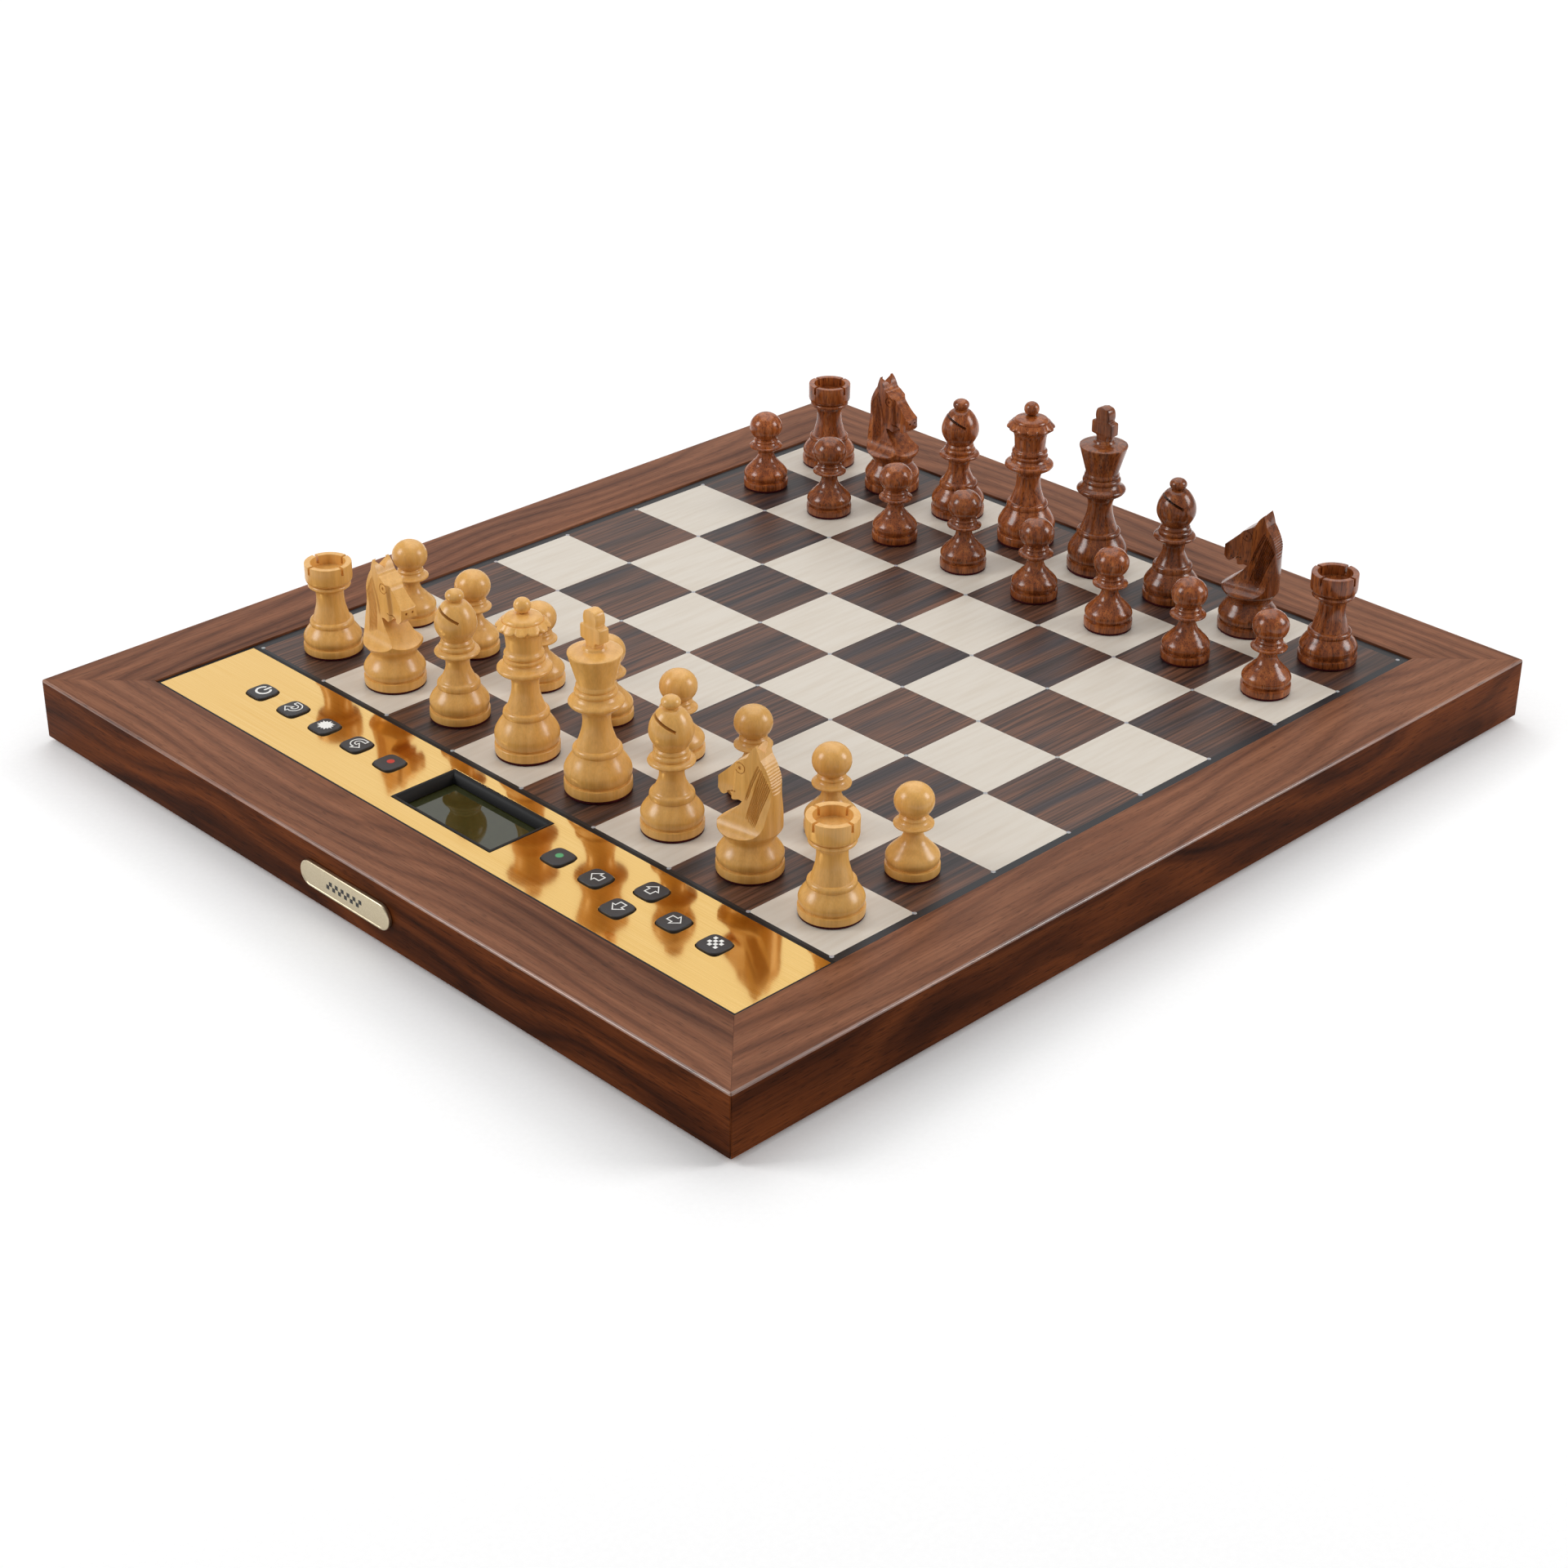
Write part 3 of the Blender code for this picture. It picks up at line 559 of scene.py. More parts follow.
def railProfile():
    # inset from the outer face and height, with the material of the face that starts at each point
    points = []
    low, high, soft = rail["bottomRadius"], rail["topRadius"], rail["innerRadius"]
    # the rounded bottom edge and the outer face take slot 1, the side walnut that is darker partly as painted
    # shade
    for k in range(4):
        angle = math.pi / 2 * k / 3
        points.append((low - low * math.sin(angle), caseBottom + low - low * math.cos(angle), 1))
    # the rounded top edge takes slot 2, the glossy walnut whose lighter colour is a painted highlight
    for k in range(7):
        angle = math.pi / 2 * k / 6
        across = high - high * math.cos(angle)
        points.append((across, caseTop - high + high * math.sin(angle), 2 if k < 6 else 0))
    for k in range(4):
        angle = math.pi / 2 * k / 3
        across = rail["width"] - soft + soft * math.sin(angle)
        points.append((across, caseTop - soft + soft * math.cos(angle), 0))
    inner = rail["width"] + rail["ledge"]
    points += [(rail["width"], rail["ledgeTop"], 0), (inner, rail["ledgeTop"], 0)]
    points += [(inner, rail["baseTop"], 0), (rail["rebate"], rail["baseTop"], 0)]
    points.append((rail["rebate"], caseBottom, 0))
    return points


def railMesh(name, length, reach):
    # along +X with mitred ends; the outer vertical corners are rounded up to the mitre
    profile = railProfile()
    radius = rail["cornerRadius"]
    turns = [math.pi / 4 * k / 4 for k in range(5)]
    sections = []
    for side in (-1, 1):
        wanted = []
        for k, turn in enumerate(turns):
            section = []
            for inset, z in [point[:2] for point in profile]:
                if inset < radius:
                    along = length / 2 - radius + (radius - inset) * math.sin(turn)
                    across = radius - (radius - inset) * math.cos(turn)
                else:
                    along = length / 2 - inset - (4 - k) * 0.2 * mm
                    across = inset
                along -= rail["mitreGap"]
                section.append((side * along, across - reach, z))
            wanted.append(section)
        sections += wanted[::-1] if side < 0 else wanted
    bm = bmesh.new()
    steps = loft(bm, sections)
    for faces in steps:
        for face, point in zip(faces, profile):
            face.material_index = point[2]
    return smoothed(meshFrom(name, bm), 35)


def makeRails():
    veneers = [finish["walnutTop"], finish["walnutSideWithPaintedShade"], finish["walnutEdgePaintedHighlight"]]
    for node, length, reach, turn in (
        ("front_rail", caseWidth, caseDepth / 2, 0),
        ("right_rail", caseDepth, caseWidth / 2, 90),
        ("back_rail", caseWidth, caseDepth / 2, 180),
        ("left_rail", caseDepth, caseWidth / 2, -90),
    ):
        mesh = railMesh(node, length, reach)
        item = newObject("veneered_" + node, mesh, *veneers)
        if node == "back_rail":
            low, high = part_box("power_socket")
            size = high - low + Vector((0.6, 90, 0.6)) * mm
            bm = bmesh.new()
            middle = middleOf("power_socket")
            place = Matrix.Translation((-middle.x, -caseDepth / 2, middle.z))
            bmesh.ops.create_cube(bm, size=1.0, matrix=place @ Matrix.Diagonal((*size, 1.0)))
            combine(item, meshFrom("socketHole", bm), "DIFFERENCE")
            item = newObject("veneered_back_rail", smoothed(bakeObject(item), 35), *veneers)
        item.rotation_euler.z = math.radians(turn)
        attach(item, "case")
        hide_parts(node)


makeRails()
print("case rails made")


# control panel, keys and display

keyCap = {
    "side": 10.5 * mm, "shoulder": 0.5 * mm, "dome": 0.09 * mm, "rings": 5,
    "flangeSide": 12.6 * mm, "holeMargin": 0.25 * mm, "inkHeight": 0.04 * mm, "ink": 0.12 * mm,
    "line": 0.44 * mm, "inkOffset": 0.5 * mm,
}
# the panel's corner and edge, and the thickness and lap of the black strip of painted shade round it
panel = {"corner": 0.3 * mm, "edge": 0.12 * mm, "shadeStrip": 0.3 * mm, "shadeStripLap": 0.35 * mm}
keyNodes = [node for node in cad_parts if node.startswith("key_")]


def makePanel():
    outer = roundedRectangle(panelHigh.x - panelLow.x, panelHigh.y - panelLow.y, panel["corner"], 0,
                             middleOf("control_panel"), 3)
    loops = [outer]
    for node in keyNodes:
        loops.append(squircle(keyCap["side"] + 2 * keyCap["holeMargin"], 0, middleOf(node))[::-1])
    low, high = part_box("display_housing")
    loops.append(roundedRectangle(high.x - low.x + clearance, high.y - low.y + clearance, 0.4 * mm, 0,
                                  middleOf("display_housing"), 3)[::-1])
    mesh = flatCurve("giltPanel", loops, panelHigh.z - panelLow.z, panel["edge"])
    mesh.transform(Matrix.Translation((0, 0, (panelHigh.z + panelLow.z) / 2)))
    item = newObject("gilt_control_panel", mesh, finish["gilt"])
    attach(item, "case")
    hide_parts("control_panel")


def makeGapShadeStrip():
    # a black strip that laps the edge of the panel and fills the gap to the wood: painted shade of the open
    # gap between them
    gap = rail["width"] - (panelLow.x - leftLow.x)
    width, depth = panelHigh.x - panelLow.x, panelHigh.y - panelLow.y
    middle = middleOf("control_panel")
    reach = abs(gap) - 0.05 * mm
    lap = panel["shadeStripLap"]
    loops = [
        roundedRectangle(width + 2 * reach, depth + 2 * reach, panel["corner"], 0, middle, 2),
        roundedRectangle(width - 2 * lap, depth - 2 * lap, panel["corner"], 0, middle, 2)[::-1],
    ]
    mesh = flatCurve("panelGasket", loops, panel["shadeStrip"])
    mesh.transform(Matrix.Translation((0, 0, panelHigh.z - 0.1 * mm)))
    item = newObject("panel_gasket", mesh, finish["blackAbs"])
    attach(item, "case")


def keyMesh(low, high):
    # rubber key: flange, straight wall, rolled shoulder and a shallow dome
    flangeTop = boardLow.z - clearance
    bottom = low.z
    radius = keyCap["shoulder"]
    edge = high.z - keyCap["dome"]
    centre = (low + high) / 2
    levels = [(keyCap["flangeSide"], bottom), (keyCap["flangeSide"], flangeTop)]
    levels += [(keyCap["side"], flangeTop), (keyCap["side"], edge - radius)]
    for k in range(1, 7):
        angle = math.pi / 2 * k / 6
        inset = radius - radius * math.cos(angle)
        levels.append((keyCap["side"] - 2 * inset, edge - radius + radius * math.sin(angle)))
    flat = keyCap["side"] - 2 * radius
    for k in range(1, keyCap["rings"]):
        share = 1 - k / keyCap["rings"]
        levels.append((flat * share, high.z - keyCap["dome"] * share ** 2))
    bm = bmesh.new()
    loft(bm, [squircle(side, z, centre) for side, z in levels])
    return smoothed(meshFrom("rubberKey", bm), 50)


def wire(points, closed=True, width=keyCap["line"]):
    # a drawn line of even width round a path, as two loops of one flat shape
    half = width / 2
    count = len(points)
    sides = []
    for sign in (1, -1):
        loop = []
        for i in range(count):
            here = Vector(points[i])
            before = Vector(points[i - 1]) if closed or i else here
            after = Vector(points[(i + 1) % count]) if closed or i < count - 1 else here
            first = (here - before).normalized() if (here - before).length else None
            second = (after - here).normalized() if (after - here).length else None
            first = first or second
            second = second or first
            normal = Vector((-first.y - second.y, first.x + second.x)).normalized()
            stretch = 1 / max(normal.dot(Vector((-first.y, first.x))), 0.5)
            loop.append(here + normal * half * stretch * sign)
        sides.append([(p.x, p.y) for p in loop])
    if closed:
        return [sides[0], sides[1][::-1]]
    return [sides[0] + sides[1][::-1]]


def arcPoints(radius, start, end, count, centre=(0, 0)):
    points = []
    for k in range(count + 1):
        angle = math.radians(start + (end - start) * k / count)
        points.append((centre[0] + radius * math.cos(angle), centre[1] + radius * math.sin(angle)))
    return points


def turnedBy(points, degrees, mirror=1):
    cosine, sine = math.cos(math.radians(degrees)), math.sin(math.radians(degrees))
    return [(mirror * (x * cosine - y * sine), x * sine + y * cosine) for x, y in points]


def arrowOutline(degrees):
    # a block arrow that points along +X before it is turned
    half = [(2.7, 0.0), (-0.1, 2.9), (-0.1, 1.45), (-2.6, 1.45)]
    outline = half + [(x, -y) for x, y in half[:0:-1]]
    return wire([(x * mm, y * mm) for x, y in turnedBy(outline, degrees)])


def backArrowOutline(mirror):
    # a hollow arrow that runs out, turns round and comes back
    outer = [(-2.3, 3.3)] + arcPoints(3.1, 88, -75, 16, (-0.2, 0.2))
    head = [(-0.6, -2.7), (-0.6, -4.0), (-3.3, -1.9), (-0.6, 0.2), (-0.6, -1.2)]
    inner = arcPoints(1.5, -70, 88, 10, (-0.2, 0.25)) + [(-2.3, 1.75)]
    outline = [(mirror * x * mm, y * mm) for x, y in outer + head + inner]
    return wire(outline)


def powerLoops():
    ring = [(x * mm, y * mm) for x, y in arcPoints(2.8, 122, 418, 30)]
    bar = [(0.0, 0.3 * mm), (0.0, 3.7 * mm)]
    return wire(ring, False, 0.9 * mm) + wire(bar, False, 0.9 * mm)


def starLoop():
    rays = 14
    points = []
    for k in range(2 * rays):
        reach = (3.4 if k % 4 else 3.9) if k % 2 == 0 else 2.5
        angle = math.pi * k / rays
        points.append((reach * mm * math.cos(angle), reach * 0.9 * mm * math.sin(angle)))
    return [points]


def boardLoops():
    # a small chequered board stands for a fresh game
    cell = 1.4 * mm
    loops = []
    for column in range(4):
        for row in range(4):
            if (column + row) % 2:
                x, y = (column - 2) * cell, (row - 2) * cell
                loops.append([(x, y), (x + cell * 0.96, y), (x + cell * 0.96, y + cell * 0.96),
                              (x, y + cell * 0.96)])
    return loops


keyMarks = {
    "key_power": (powerLoops(), "whiteInk"),
    "key_back": (backArrowOutline(1), "whiteInk"),
    "key_hint": (starLoop(), "whiteInk"),
    "key_forward": (backArrowOutline(-1), "whiteInk"),
    "key_no": ([arcPoints(1.5 * mm, 0, 345, 23)], "redInk"),
    "key_yes": ([arcPoints(1.5 * mm, 0, 345, 23)], "greenInk"),
    "key_left": (arrowOutline(180), "whiteInk"),
    "key_up": (arrowOutline(90), "whiteInk"),
    "key_down": (arrowOutline(-90), "whiteInk"),
    "key_right": (arrowOutline(0), "whiteInk"),
    "key_new_game": (boardLoops(), "whiteInk"),
}


def makeKeys():
    for node in keyNodes:
        low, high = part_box(node)
        item = newObject("rubber_" + node, keyMesh(low, high), finish["keyRubber"])
        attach(item, node)
        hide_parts(node)
        loops, ink = keyMarks[node]
        mark = flatCurve("mark", loops, keyCap["ink"])
        centre = (low + high) / 2
        mark.transform(Matrix.Translation((
            centre.x, centre.y + keyCap["inkOffset"], high.z + keyCap["inkHeight"] - keyCap["ink"] / 2,
        )))
        printed = newObject("mark_" + node, mark, finish[ink])
        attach(printed, node)


display = {"rim": 1.0 * mm, "chamfer": 1.2 * mm, "shell": 1.4 * mm, "wall": 3.0 * mm, "edge": 0.15 * mm}


def makeDisplay():
    low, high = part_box("display_housing")
    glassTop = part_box("display_module")[1].z
    ledge = glassTop + clearance
    width, depth = high.x - low.x, high.y - low.y
    centre = (low + high) / 2
    edge = display["edge"]
    levels = [(0.0, low.z, 0.6), (0.0, high.z - edge, 0.6), (edge * 0.3, high.z - edge * 0.3, 0.6)]
    levels += [(edge, high.z, 0.6), (display["rim"], high.z, 0.5)]
    levels += [(display["rim"] + 0.1 * mm, high.z - 0.04 * mm, 0.5)]
    levels += [(display["rim"] + display["chamfer"], high.z - display["chamfer"], 0.4)]
    levels += [(display["wall"], ledge, 0.3), (display["shell"], ledge, 0.3), (display["shell"], low.z, 0.3)]
    bm = bmesh.new()
    sections = [
        roundedRectangle(width - 2 * inset, depth - 2 * inset, radius * mm, z, centre, 4)
        for inset, z, radius in levels
    ]
    loft(bm, sections, ring=True)
    item = newObject("display_bezel", smoothed(meshFrom("displayBezel", bm), 30), finish["blackAbs"])
    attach(item, "case")
    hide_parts("display_housing")


makePanel()
makeGapShadeStrip()
makeKeys()
makeDisplay()
print("panel, keys and display made")


# name badge, left blank but for a chequered band

badge = {"edge": 0.45 * mm, "cells": 12, "cell": 1.7 * mm, "ink": 0.05 * mm}


def pill(length, height, inset, y, middle, steps=14):
    radius = height / 2 - inset
    reach = length / 2 - height / 2
    loop = []
    for side, start in ((1, -90), (-1, 90)):
        for k in range(steps + 1):
            angle = math.radians(start + 180 * k / steps)
            loop.append((side * reach + radius * math.cos(angle), y, middle + radius * math.sin(angle)))
    return loop


def makeBadge():
    low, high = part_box("name_badge")
    length, height = high.x - low.x, high.z - low.z
    middle = (low.z + high.z) / 2
    edge = badge["edge"]
    levels = [(0.0, high.y), (0.0, low.y + edge)]
    for k in range(1, 5):
        angle = math.pi / 2 * k / 4
        levels.append((edge - edge * math.cos(angle), low.y + edge - edge * math.sin(angle)))
    levels += [(edge + 0.35 * mm, low.y), (edge + 0.5 * mm, low.y + 0.12 * mm)]
    bm = bmesh.new()
    loft(bm, [pill(length, height, inset, y, middle) for inset, y in levels])
    item = newObject("blank_badge", smoothed(meshFrom("blankBadge", bm), 35), finish["nickel"])
    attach(item, "case")
    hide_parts("name_badge")

    loops = []
    cell = badge["cell"]
    for column in range(badge["cells"]):
        x = (column - badge["cells"] / 2) * cell
        y = 0.0 if column % 2 else -cell
        loops.append([(x, y), (x + cell, y), (x + cell, y + cell), (x, y + cell)])
    mesh = flatCurve("chequer", loops, badge["ink"])
    mesh.transform(Matrix.Rotation(math.pi / 2, 4, "X"))
    mesh.transform(Matrix.Translation((0, low.y + 0.12 * mm, middle)))
    printed = newObject("badge_chequer", mesh, finish["blackInk"])
    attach(printed, "case")


makeBadge()
print("badge made")


# turned pieces: each outline is a start point and runs of further points, in millimetres;
# a run is a smooth curve, and two runs meet in an edge

def smoothRun(points, spacing=0.55):
    if len(points) == 2:
        return [points[1]]
    first = (2 * points[0][0] - points[1][0], 2 * points[0][1] - points[1][1])
    last = (2 * points[-1][0] - points[-2][0], 2 * points[-1][1] - points[-2][1])
    ends = [first, *points, last]
    found = []
    for p0, p1, p2, p3 in zip(ends, ends[1:], ends[2:], ends[3:]):
        count = max(1, round(math.dist(p1, p2) / spacing))
        for k in range(1, count + 1):
            t = k / count
            place = []
            for a, b, c, d in zip(p0, p1, p2, p3):
                curve = (2 * a - 5 * b + 4 * c - d) * t * t + (3 * b - a - 3 * c + d) * t ** 3
                place.append(0.5 * (2 * b + (c - a) * t + curve))
            found.append(tuple(place))
    return found


def outlineOf(start, runs):
    points = [start]
    for run in runs:
        points += smoothRun([points[-1], *run])
    return points


def ballRun(centre, radius, rise, start, end=90, count=12):
    return [
        (radius * math.cos(math.radians(start + (end - start) * k / count)),
         centre + rise * math.sin(math.radians(start + (end - start) * k / count)))
        for k in range(count + 1)
    ]


def latheMesh(name, points, steps=72):
    bm = bmesh.new()
    path = [(0.0, points[0][1]), *points]
    if path[-1][0] > 0.01:
        path.append((0.0, path[-1][1]))
    verts = [bm.verts.new((max(r, 0.0) * mm, 0.0, z * mm)) for r, z in reversed(path)]
    for first, second in zip(verts, verts[1:]):
        bm.edges.new((first, second))
    mesh = bpy.data.meshes.new(name)
    bm.to_mesh(mesh)
    bm.free()
    item = newObject(name, mesh)
    screw = item.modifiers.new("turn", "SCREW")
    screw.steps = steps
    screw.render_steps = steps
    screw.use_merge_vertices = True
    screw.merge_threshold = 0.000002
    return item


def footRuns(radius, low, plinth, bellZ, bellRadius, ringRadius, ringZ):
    # plinth, narrow groove and the bell that sweeps up to the ring
    rise = ringZ - bellZ
    drop = bellRadius - ringRadius
    start = (radius - 0.45, low)
    runs = [
        [(radius - 0.1, low + 0.15), (radius, low + 0.5)],
        [(radius, plinth - 0.4)],
        [(radius - 0.1, plinth - 0.1), (radius - 0.35, plinth)], [(radius - 0.95, plinth + 0.1)],
        [(radius - 0.95, plinth + 0.5)],
        [(bellRadius - 0.3, plinth + 0.7 + (bellZ - plinth) * 0.15), (bellRadius, bellZ),
         (bellRadius - drop * 0.10, bellZ + rise * 0.24), (bellRadius - drop * 0.40, bellZ + rise * 0.52),
         (bellRadius - drop * 0.80, bellZ + rise * 0.82), (ringRadius, ringZ)],
    ]
    return start, runs


pawnShape = {"foot": (9.85, 0.9, 4.1, 6.6, 9.7, 5.75, 12.0), "runs": [
    [(5.2, 12.4)], [(4.3, 13.6), (3.5, 15.6), (3.6, 17.2), (4.8, 18.4), (6.6, 18.9)],
    [(7.15, 19.2), (7.2, 19.7), (6.8, 20.1)], [(5.6, 20.7), (5.1, 21.6)], [(5.3, 22.0), (5.2, 22.5)],
    [(4.6, 22.9)],
], "head": (28.4, 7.2, 6.5, -53)}
rookShape = {"foot": (11.8, 0.9, 3.9, 6.4, 11.6, 8.55, 11.8), "runs": [
    [(8.75, 12.3), (8.55, 13.5), (8.0, 13.9)], [(7.4, 14.1)],
    [(6.6, 17.0), (5.8, 20.2), (5.5, 23.5), (5.7, 26.0), (6.5, 27.8)],
    [(8.0, 28.1), (8.5, 28.8), (8.1, 29.6)], [(7.6, 29.8)], [(8.5, 30.3), (9.15, 31.0), (9.35, 32.0)],
    [(9.35, 37.9)], [(9.25, 38.15), (9.0, 38.2)], [(7.2, 38.2)], [(6.95, 38.1), (6.85, 37.8)],
    [(6.7, 34.0)], [(6.2, 33.8)],
]}
bishopShape = {"foot": (11.65, 1.0, 4.2, 7.3, 11.5, 8.1, 13.2), "runs": [
    [(8.3, 13.7), (8.15, 15.2), (7.6, 15.9)], [(7.0, 16.1)],
    [(6.0, 18.0), (4.9, 20.6), (4.6, 22.6), (4.8, 24.8), (6.0, 26.6)],
    [(8.2, 27.3), (8.75, 28.0), (8.3, 28.8)], [(6.6, 29.3)], [(6.9, 30.0), (6.85, 30.7), (6.3, 31.2)],
    [(6.0, 31.4)], [(6.2, 31.9), (6.1, 32.5), (5.7, 32.8)], [(5.5, 33.2)],
    [(6.6, 35.0), (7.8, 37.4), (8.15, 39.8), (7.7, 42.6), (6.4, 45.4), (4.8, 47.5), (3.4, 48.5)],
    [(2.4, 48.8)],
], "head": (50.8, 3.6, 2.55, -48)}
queenShape = {"foot": (12.35, 1.1, 4.8, 8.5, 12.3, 8.6, 16.1), "runs": [
    [(8.85, 16.7), (8.65, 18.0), (8.0, 18.7)], [(7.4, 18.9)],
    [(6.4, 21.8), (5.4, 25.4), (5.15, 28.4), (5.4, 31.0), (6.6, 33.2)],
    [(9.4, 34.2), (10.4, 35.2), (10.3, 36.0), (9.6, 36.6)], [(7.9, 37.4), (7.3, 38.4)],
    [(7.8, 38.9), (7.8, 39.7), (7.2, 40.2)], [(6.9, 40.4)], [(7.5, 41.0), (7.5, 42.0), (6.9, 42.6)],
    [(6.6, 43.4), (6.7, 45.6), (7.0, 48.6), (8.0, 50.8), (9.8, 52.2)],
    [(10.3, 52.6), (10.25, 53.0), (9.9, 53.4)], [(8.1, 55.0)], [(7.6, 54.8)],
    [(7.5, 55.4), (6.7, 56.3), (4.6, 57.1), (2.6, 57.7)],
], "head": (60.5, 3.3, 3.1, -66)}
kingShape = {"foot": (12.65, 1.2, 5.2, 8.8, 12.6, 9.0, 16.3), "runs": [
    [(9.25, 16.9), (9.05, 18.0), (8.4, 18.6)], [(7.9, 18.8)],
    [(6.8, 21.6), (5.6, 25.6), (5.2, 29.0), (5.5, 31.6), (6.8, 33.8)],
    [(9.2, 35.0), (10.25, 36.2), (10.1, 37.1), (9.2, 37.8)], [(8.2, 38.6), (7.6, 39.7)],
    [(8.0, 40.2), (7.95, 41.2), (7.3, 41.8)], [(7.0, 42.0)], [(7.4, 42.5), (7.35, 43.3), (6.95, 43.8)],
    [(6.85, 44.3)], [(10.0, 55.3)],
    [(10.15, 55.7), (10.05, 56.1), (9.5, 56.4)], [(7.0, 57.1), (4.6, 57.4)],
    [(4.4, 57.6), (4.3, 58.2), (3.9, 58.5)],
]}


def shapeItem(name, shape, steps=72):
    start, runs = footRuns(*shape["foot"])
    points = outlineOf(start, runs + shape["runs"])
    if "head" in shape:
        points += ballRun(*shape["head"])
    return latheMesh(name, points, steps)


def turnAbout(axis, degrees):
    return Matrix.Rotation(math.radians(degrees), 4, axis)


def boxAt(size, centre, turn=None):
    bm = bmesh.new()
    place = Matrix.Translation([c * mm for c in centre]) @ (turn or Matrix())
    bmesh.ops.create_cube(bm, size=1.0, matrix=place @ Matrix.Diagonal((*[s * mm for s in size], 1.0)))
    return meshFrom("box", bm)


def rookMesh():
    item = shapeItem("rook", rookShape)
    for degrees in (0, 90):
        combine(item, boxAt((24, 1.2, 6.6), (0, 0, 38.2), turnAbout("Z", degrees)), "DIFFERENCE")
    return smoothed(bakeObject(item), 45)


def bishopMesh():
    item = shapeItem("bishop", bishopShape)
    tilt = turnAbout("Z", 45) @ turnAbout("Y", 27)
    combine(item, boxAt((14, 24, 1.1), (-3.0, -3.0, 45.5), tilt), "DIFFERENCE")
    return smoothed(bakeObject(item), 45)


scallop = {"count": 12, "low": 50.0, "high": 54.4, "inside": 8.2, "bite": 0.10, "lift": 0.45, "sink": 0.2}


def queenMesh():
    # the crown's rim is bitten inwards and lifted between its scallops
    mesh = smoothed(bakeObject(shapeItem("queen", queenShape, 120)), 50)
    for vert in mesh.vertices:
        radius = math.hypot(vert.co.x, vert.co.y)
        height = vert.co.z / mm
        if radius > scallop["inside"] * mm and scallop["low"] < height < scallop["high"]:
            wave = abs(math.sin(scallop["count"] / 2 * math.atan2(vert.co.y, vert.co.x)))
            bite = (1 - wave) ** 1.5 * min(1.0, (radius / mm - scallop["inside"]) / 1.6)
            share = 1 - scallop["bite"] * bite
            vert.co.x *= share
            vert.co.y *= share
            vert.co.z += (scallop["lift"] * bite - scallop["sink"] * wave) * mm
    return mesh


cross = {"thickness": 4.5 * mm, "edge": 0.35 * mm}


def kingMesh():
    item = shapeItem("king", kingShape)
    half = outlineOf((2.5, 57.4), [
        [(2.5, 60.0)], [(2.9, 60.5), (4.8, 60.8)], [(5.3, 61.2), (5.3, 66.0), (4.9, 66.5)], [(3.5, 66.8)],
        [(3.3, 67.2), (3.6, 68.6), (3.5, 70.4), (2.6, 72.2), (0.0, 73.0)],
    ])
    outline = half + [(-x, z) for x, z in half[-2::-1]]
    mesh = flatCurve("cross", [[(x * mm, z * mm) for x, z in outline]], cross["thickness"], cross["edge"])
    mesh.transform(Matrix.Rotation(math.pi / 2, 4, "X"))
    combine(item, mesh, "UNION")
    return smoothed(bakeObject(item), 45)


def clamp(value):
    return max(0.0, min(1.0, value))


knightShape = {
    "foot": (12.15, 0.9, 4.3, 7.2, 12.1, 9.4, 12.1),
    "blank": [[(9.1, 12.6), (8.8, 13.6), (9.4, 15.0), (10.7, 16.5)], [(11.5, 17.7)], [(11.6, 18.0)],
              [(11.6, 54.0)]],
    "faceHalf": 4.35, "waistHalf": 2.9, "noseHalf": 3.6, "backHalf": 3.2, "skirtHalf": 5.9,
    "scoopTop": 24.3, "scoopRadius": 6.5, "rim": 17.8, "grooves": 10, "grooveDepth": 0.65,
    "grooveHalf": 0.3, "eye": (1.2, 41.7), "eyeRings": ((2.2, 1.85, 0.4), (0.65, 0.0, 0.45)), "turn": 10,
}


def knightSilhouette():
    # seen from the side, facing +X
    front = outlineOf((11.7, 17.9), [
        [(11.6, 18.6)], [(9.9, 19.4), (7.9, 20.9), (5.4, 23.0), (3.3, 25.1), (1.3, 27.4), (0.0, 29.2)],
        [(1.4, 29.5), (2.8, 29.1), (4.0, 28.9), (4.8, 29.3)], [(5.6, 30.2), (6.6, 30.8)],
        [(7.4, 29.8), (8.4, 29.2)], [(9.6, 29.5), (10.4, 30.4), (11.3, 31.4)],
        [(11.7, 32.6), (11.7, 34.0), (11.3, 35.2)], [(9.9, 36.6), (8.4, 38.0), (6.6, 39.8), (5.0, 41.4)],
        [(3.8, 42.9), (2.6, 43.8), (0.9, 44.9), (-0.4, 45.8)], [(-1.2, 46.1), (-2.0, 47.0)],
        [(-3.2, 49.6), (-5.0, 51.7)], [(-6.1, 49.2), (-6.8, 46.9)],
    ])
    crest = smoothRun([(-6.8, 46.9), (-8.0, 45.4), (-9.4, 43.1), (-10.7, 40.2), (-11.3, 37.0),
                       (-11.5, 34.0)], 1.25)
    teeth = []
    for x, z in crest:
        teeth += [(x + 0.2, z + 0.15), (x - 0.15, z - 0.3)]
    back = [(-11.8, 32.5), (-11.8, 17.9)]
    return front + teeth + back + [(-14.0, 17.9), (-14.0, -2.0), (14.0, -2.0), (14.0, 17.9)]


def grooveLines():
    # hair lines that fan from the crest down to the chest
    lines = []
    for k in range(knightShape["grooves"]):
        share = k / (knightShape["grooves"] - 1)
        top = (-6.1 - 4.5 * share, 44.1 - 7.8 * share)
        foot = (-1.3 - 5.1 * share, 30.5 if k < 2 else 24.5 - 2.6 * share)
        lines.append((top, foot))
    return lines


def grooveDepth(x, z, lines):
    best = 9.0
    for (x1, z1), (x2, z2) in lines:
        share = (z1 - z) / (z1 - z2)
        if -0.02 <= share <= 1.02:
            bow = 1.5 * share * (1 - share)
            centre = x1 + (x2 - x1) * share + bow
            fade = 1 + 3 * clamp((share - 0.92) / 0.1)
            best = min(best, abs(x - centre) * fade)
    return knightShape["grooveDepth"] * clamp(1 - best / knightShape["grooveHalf"])


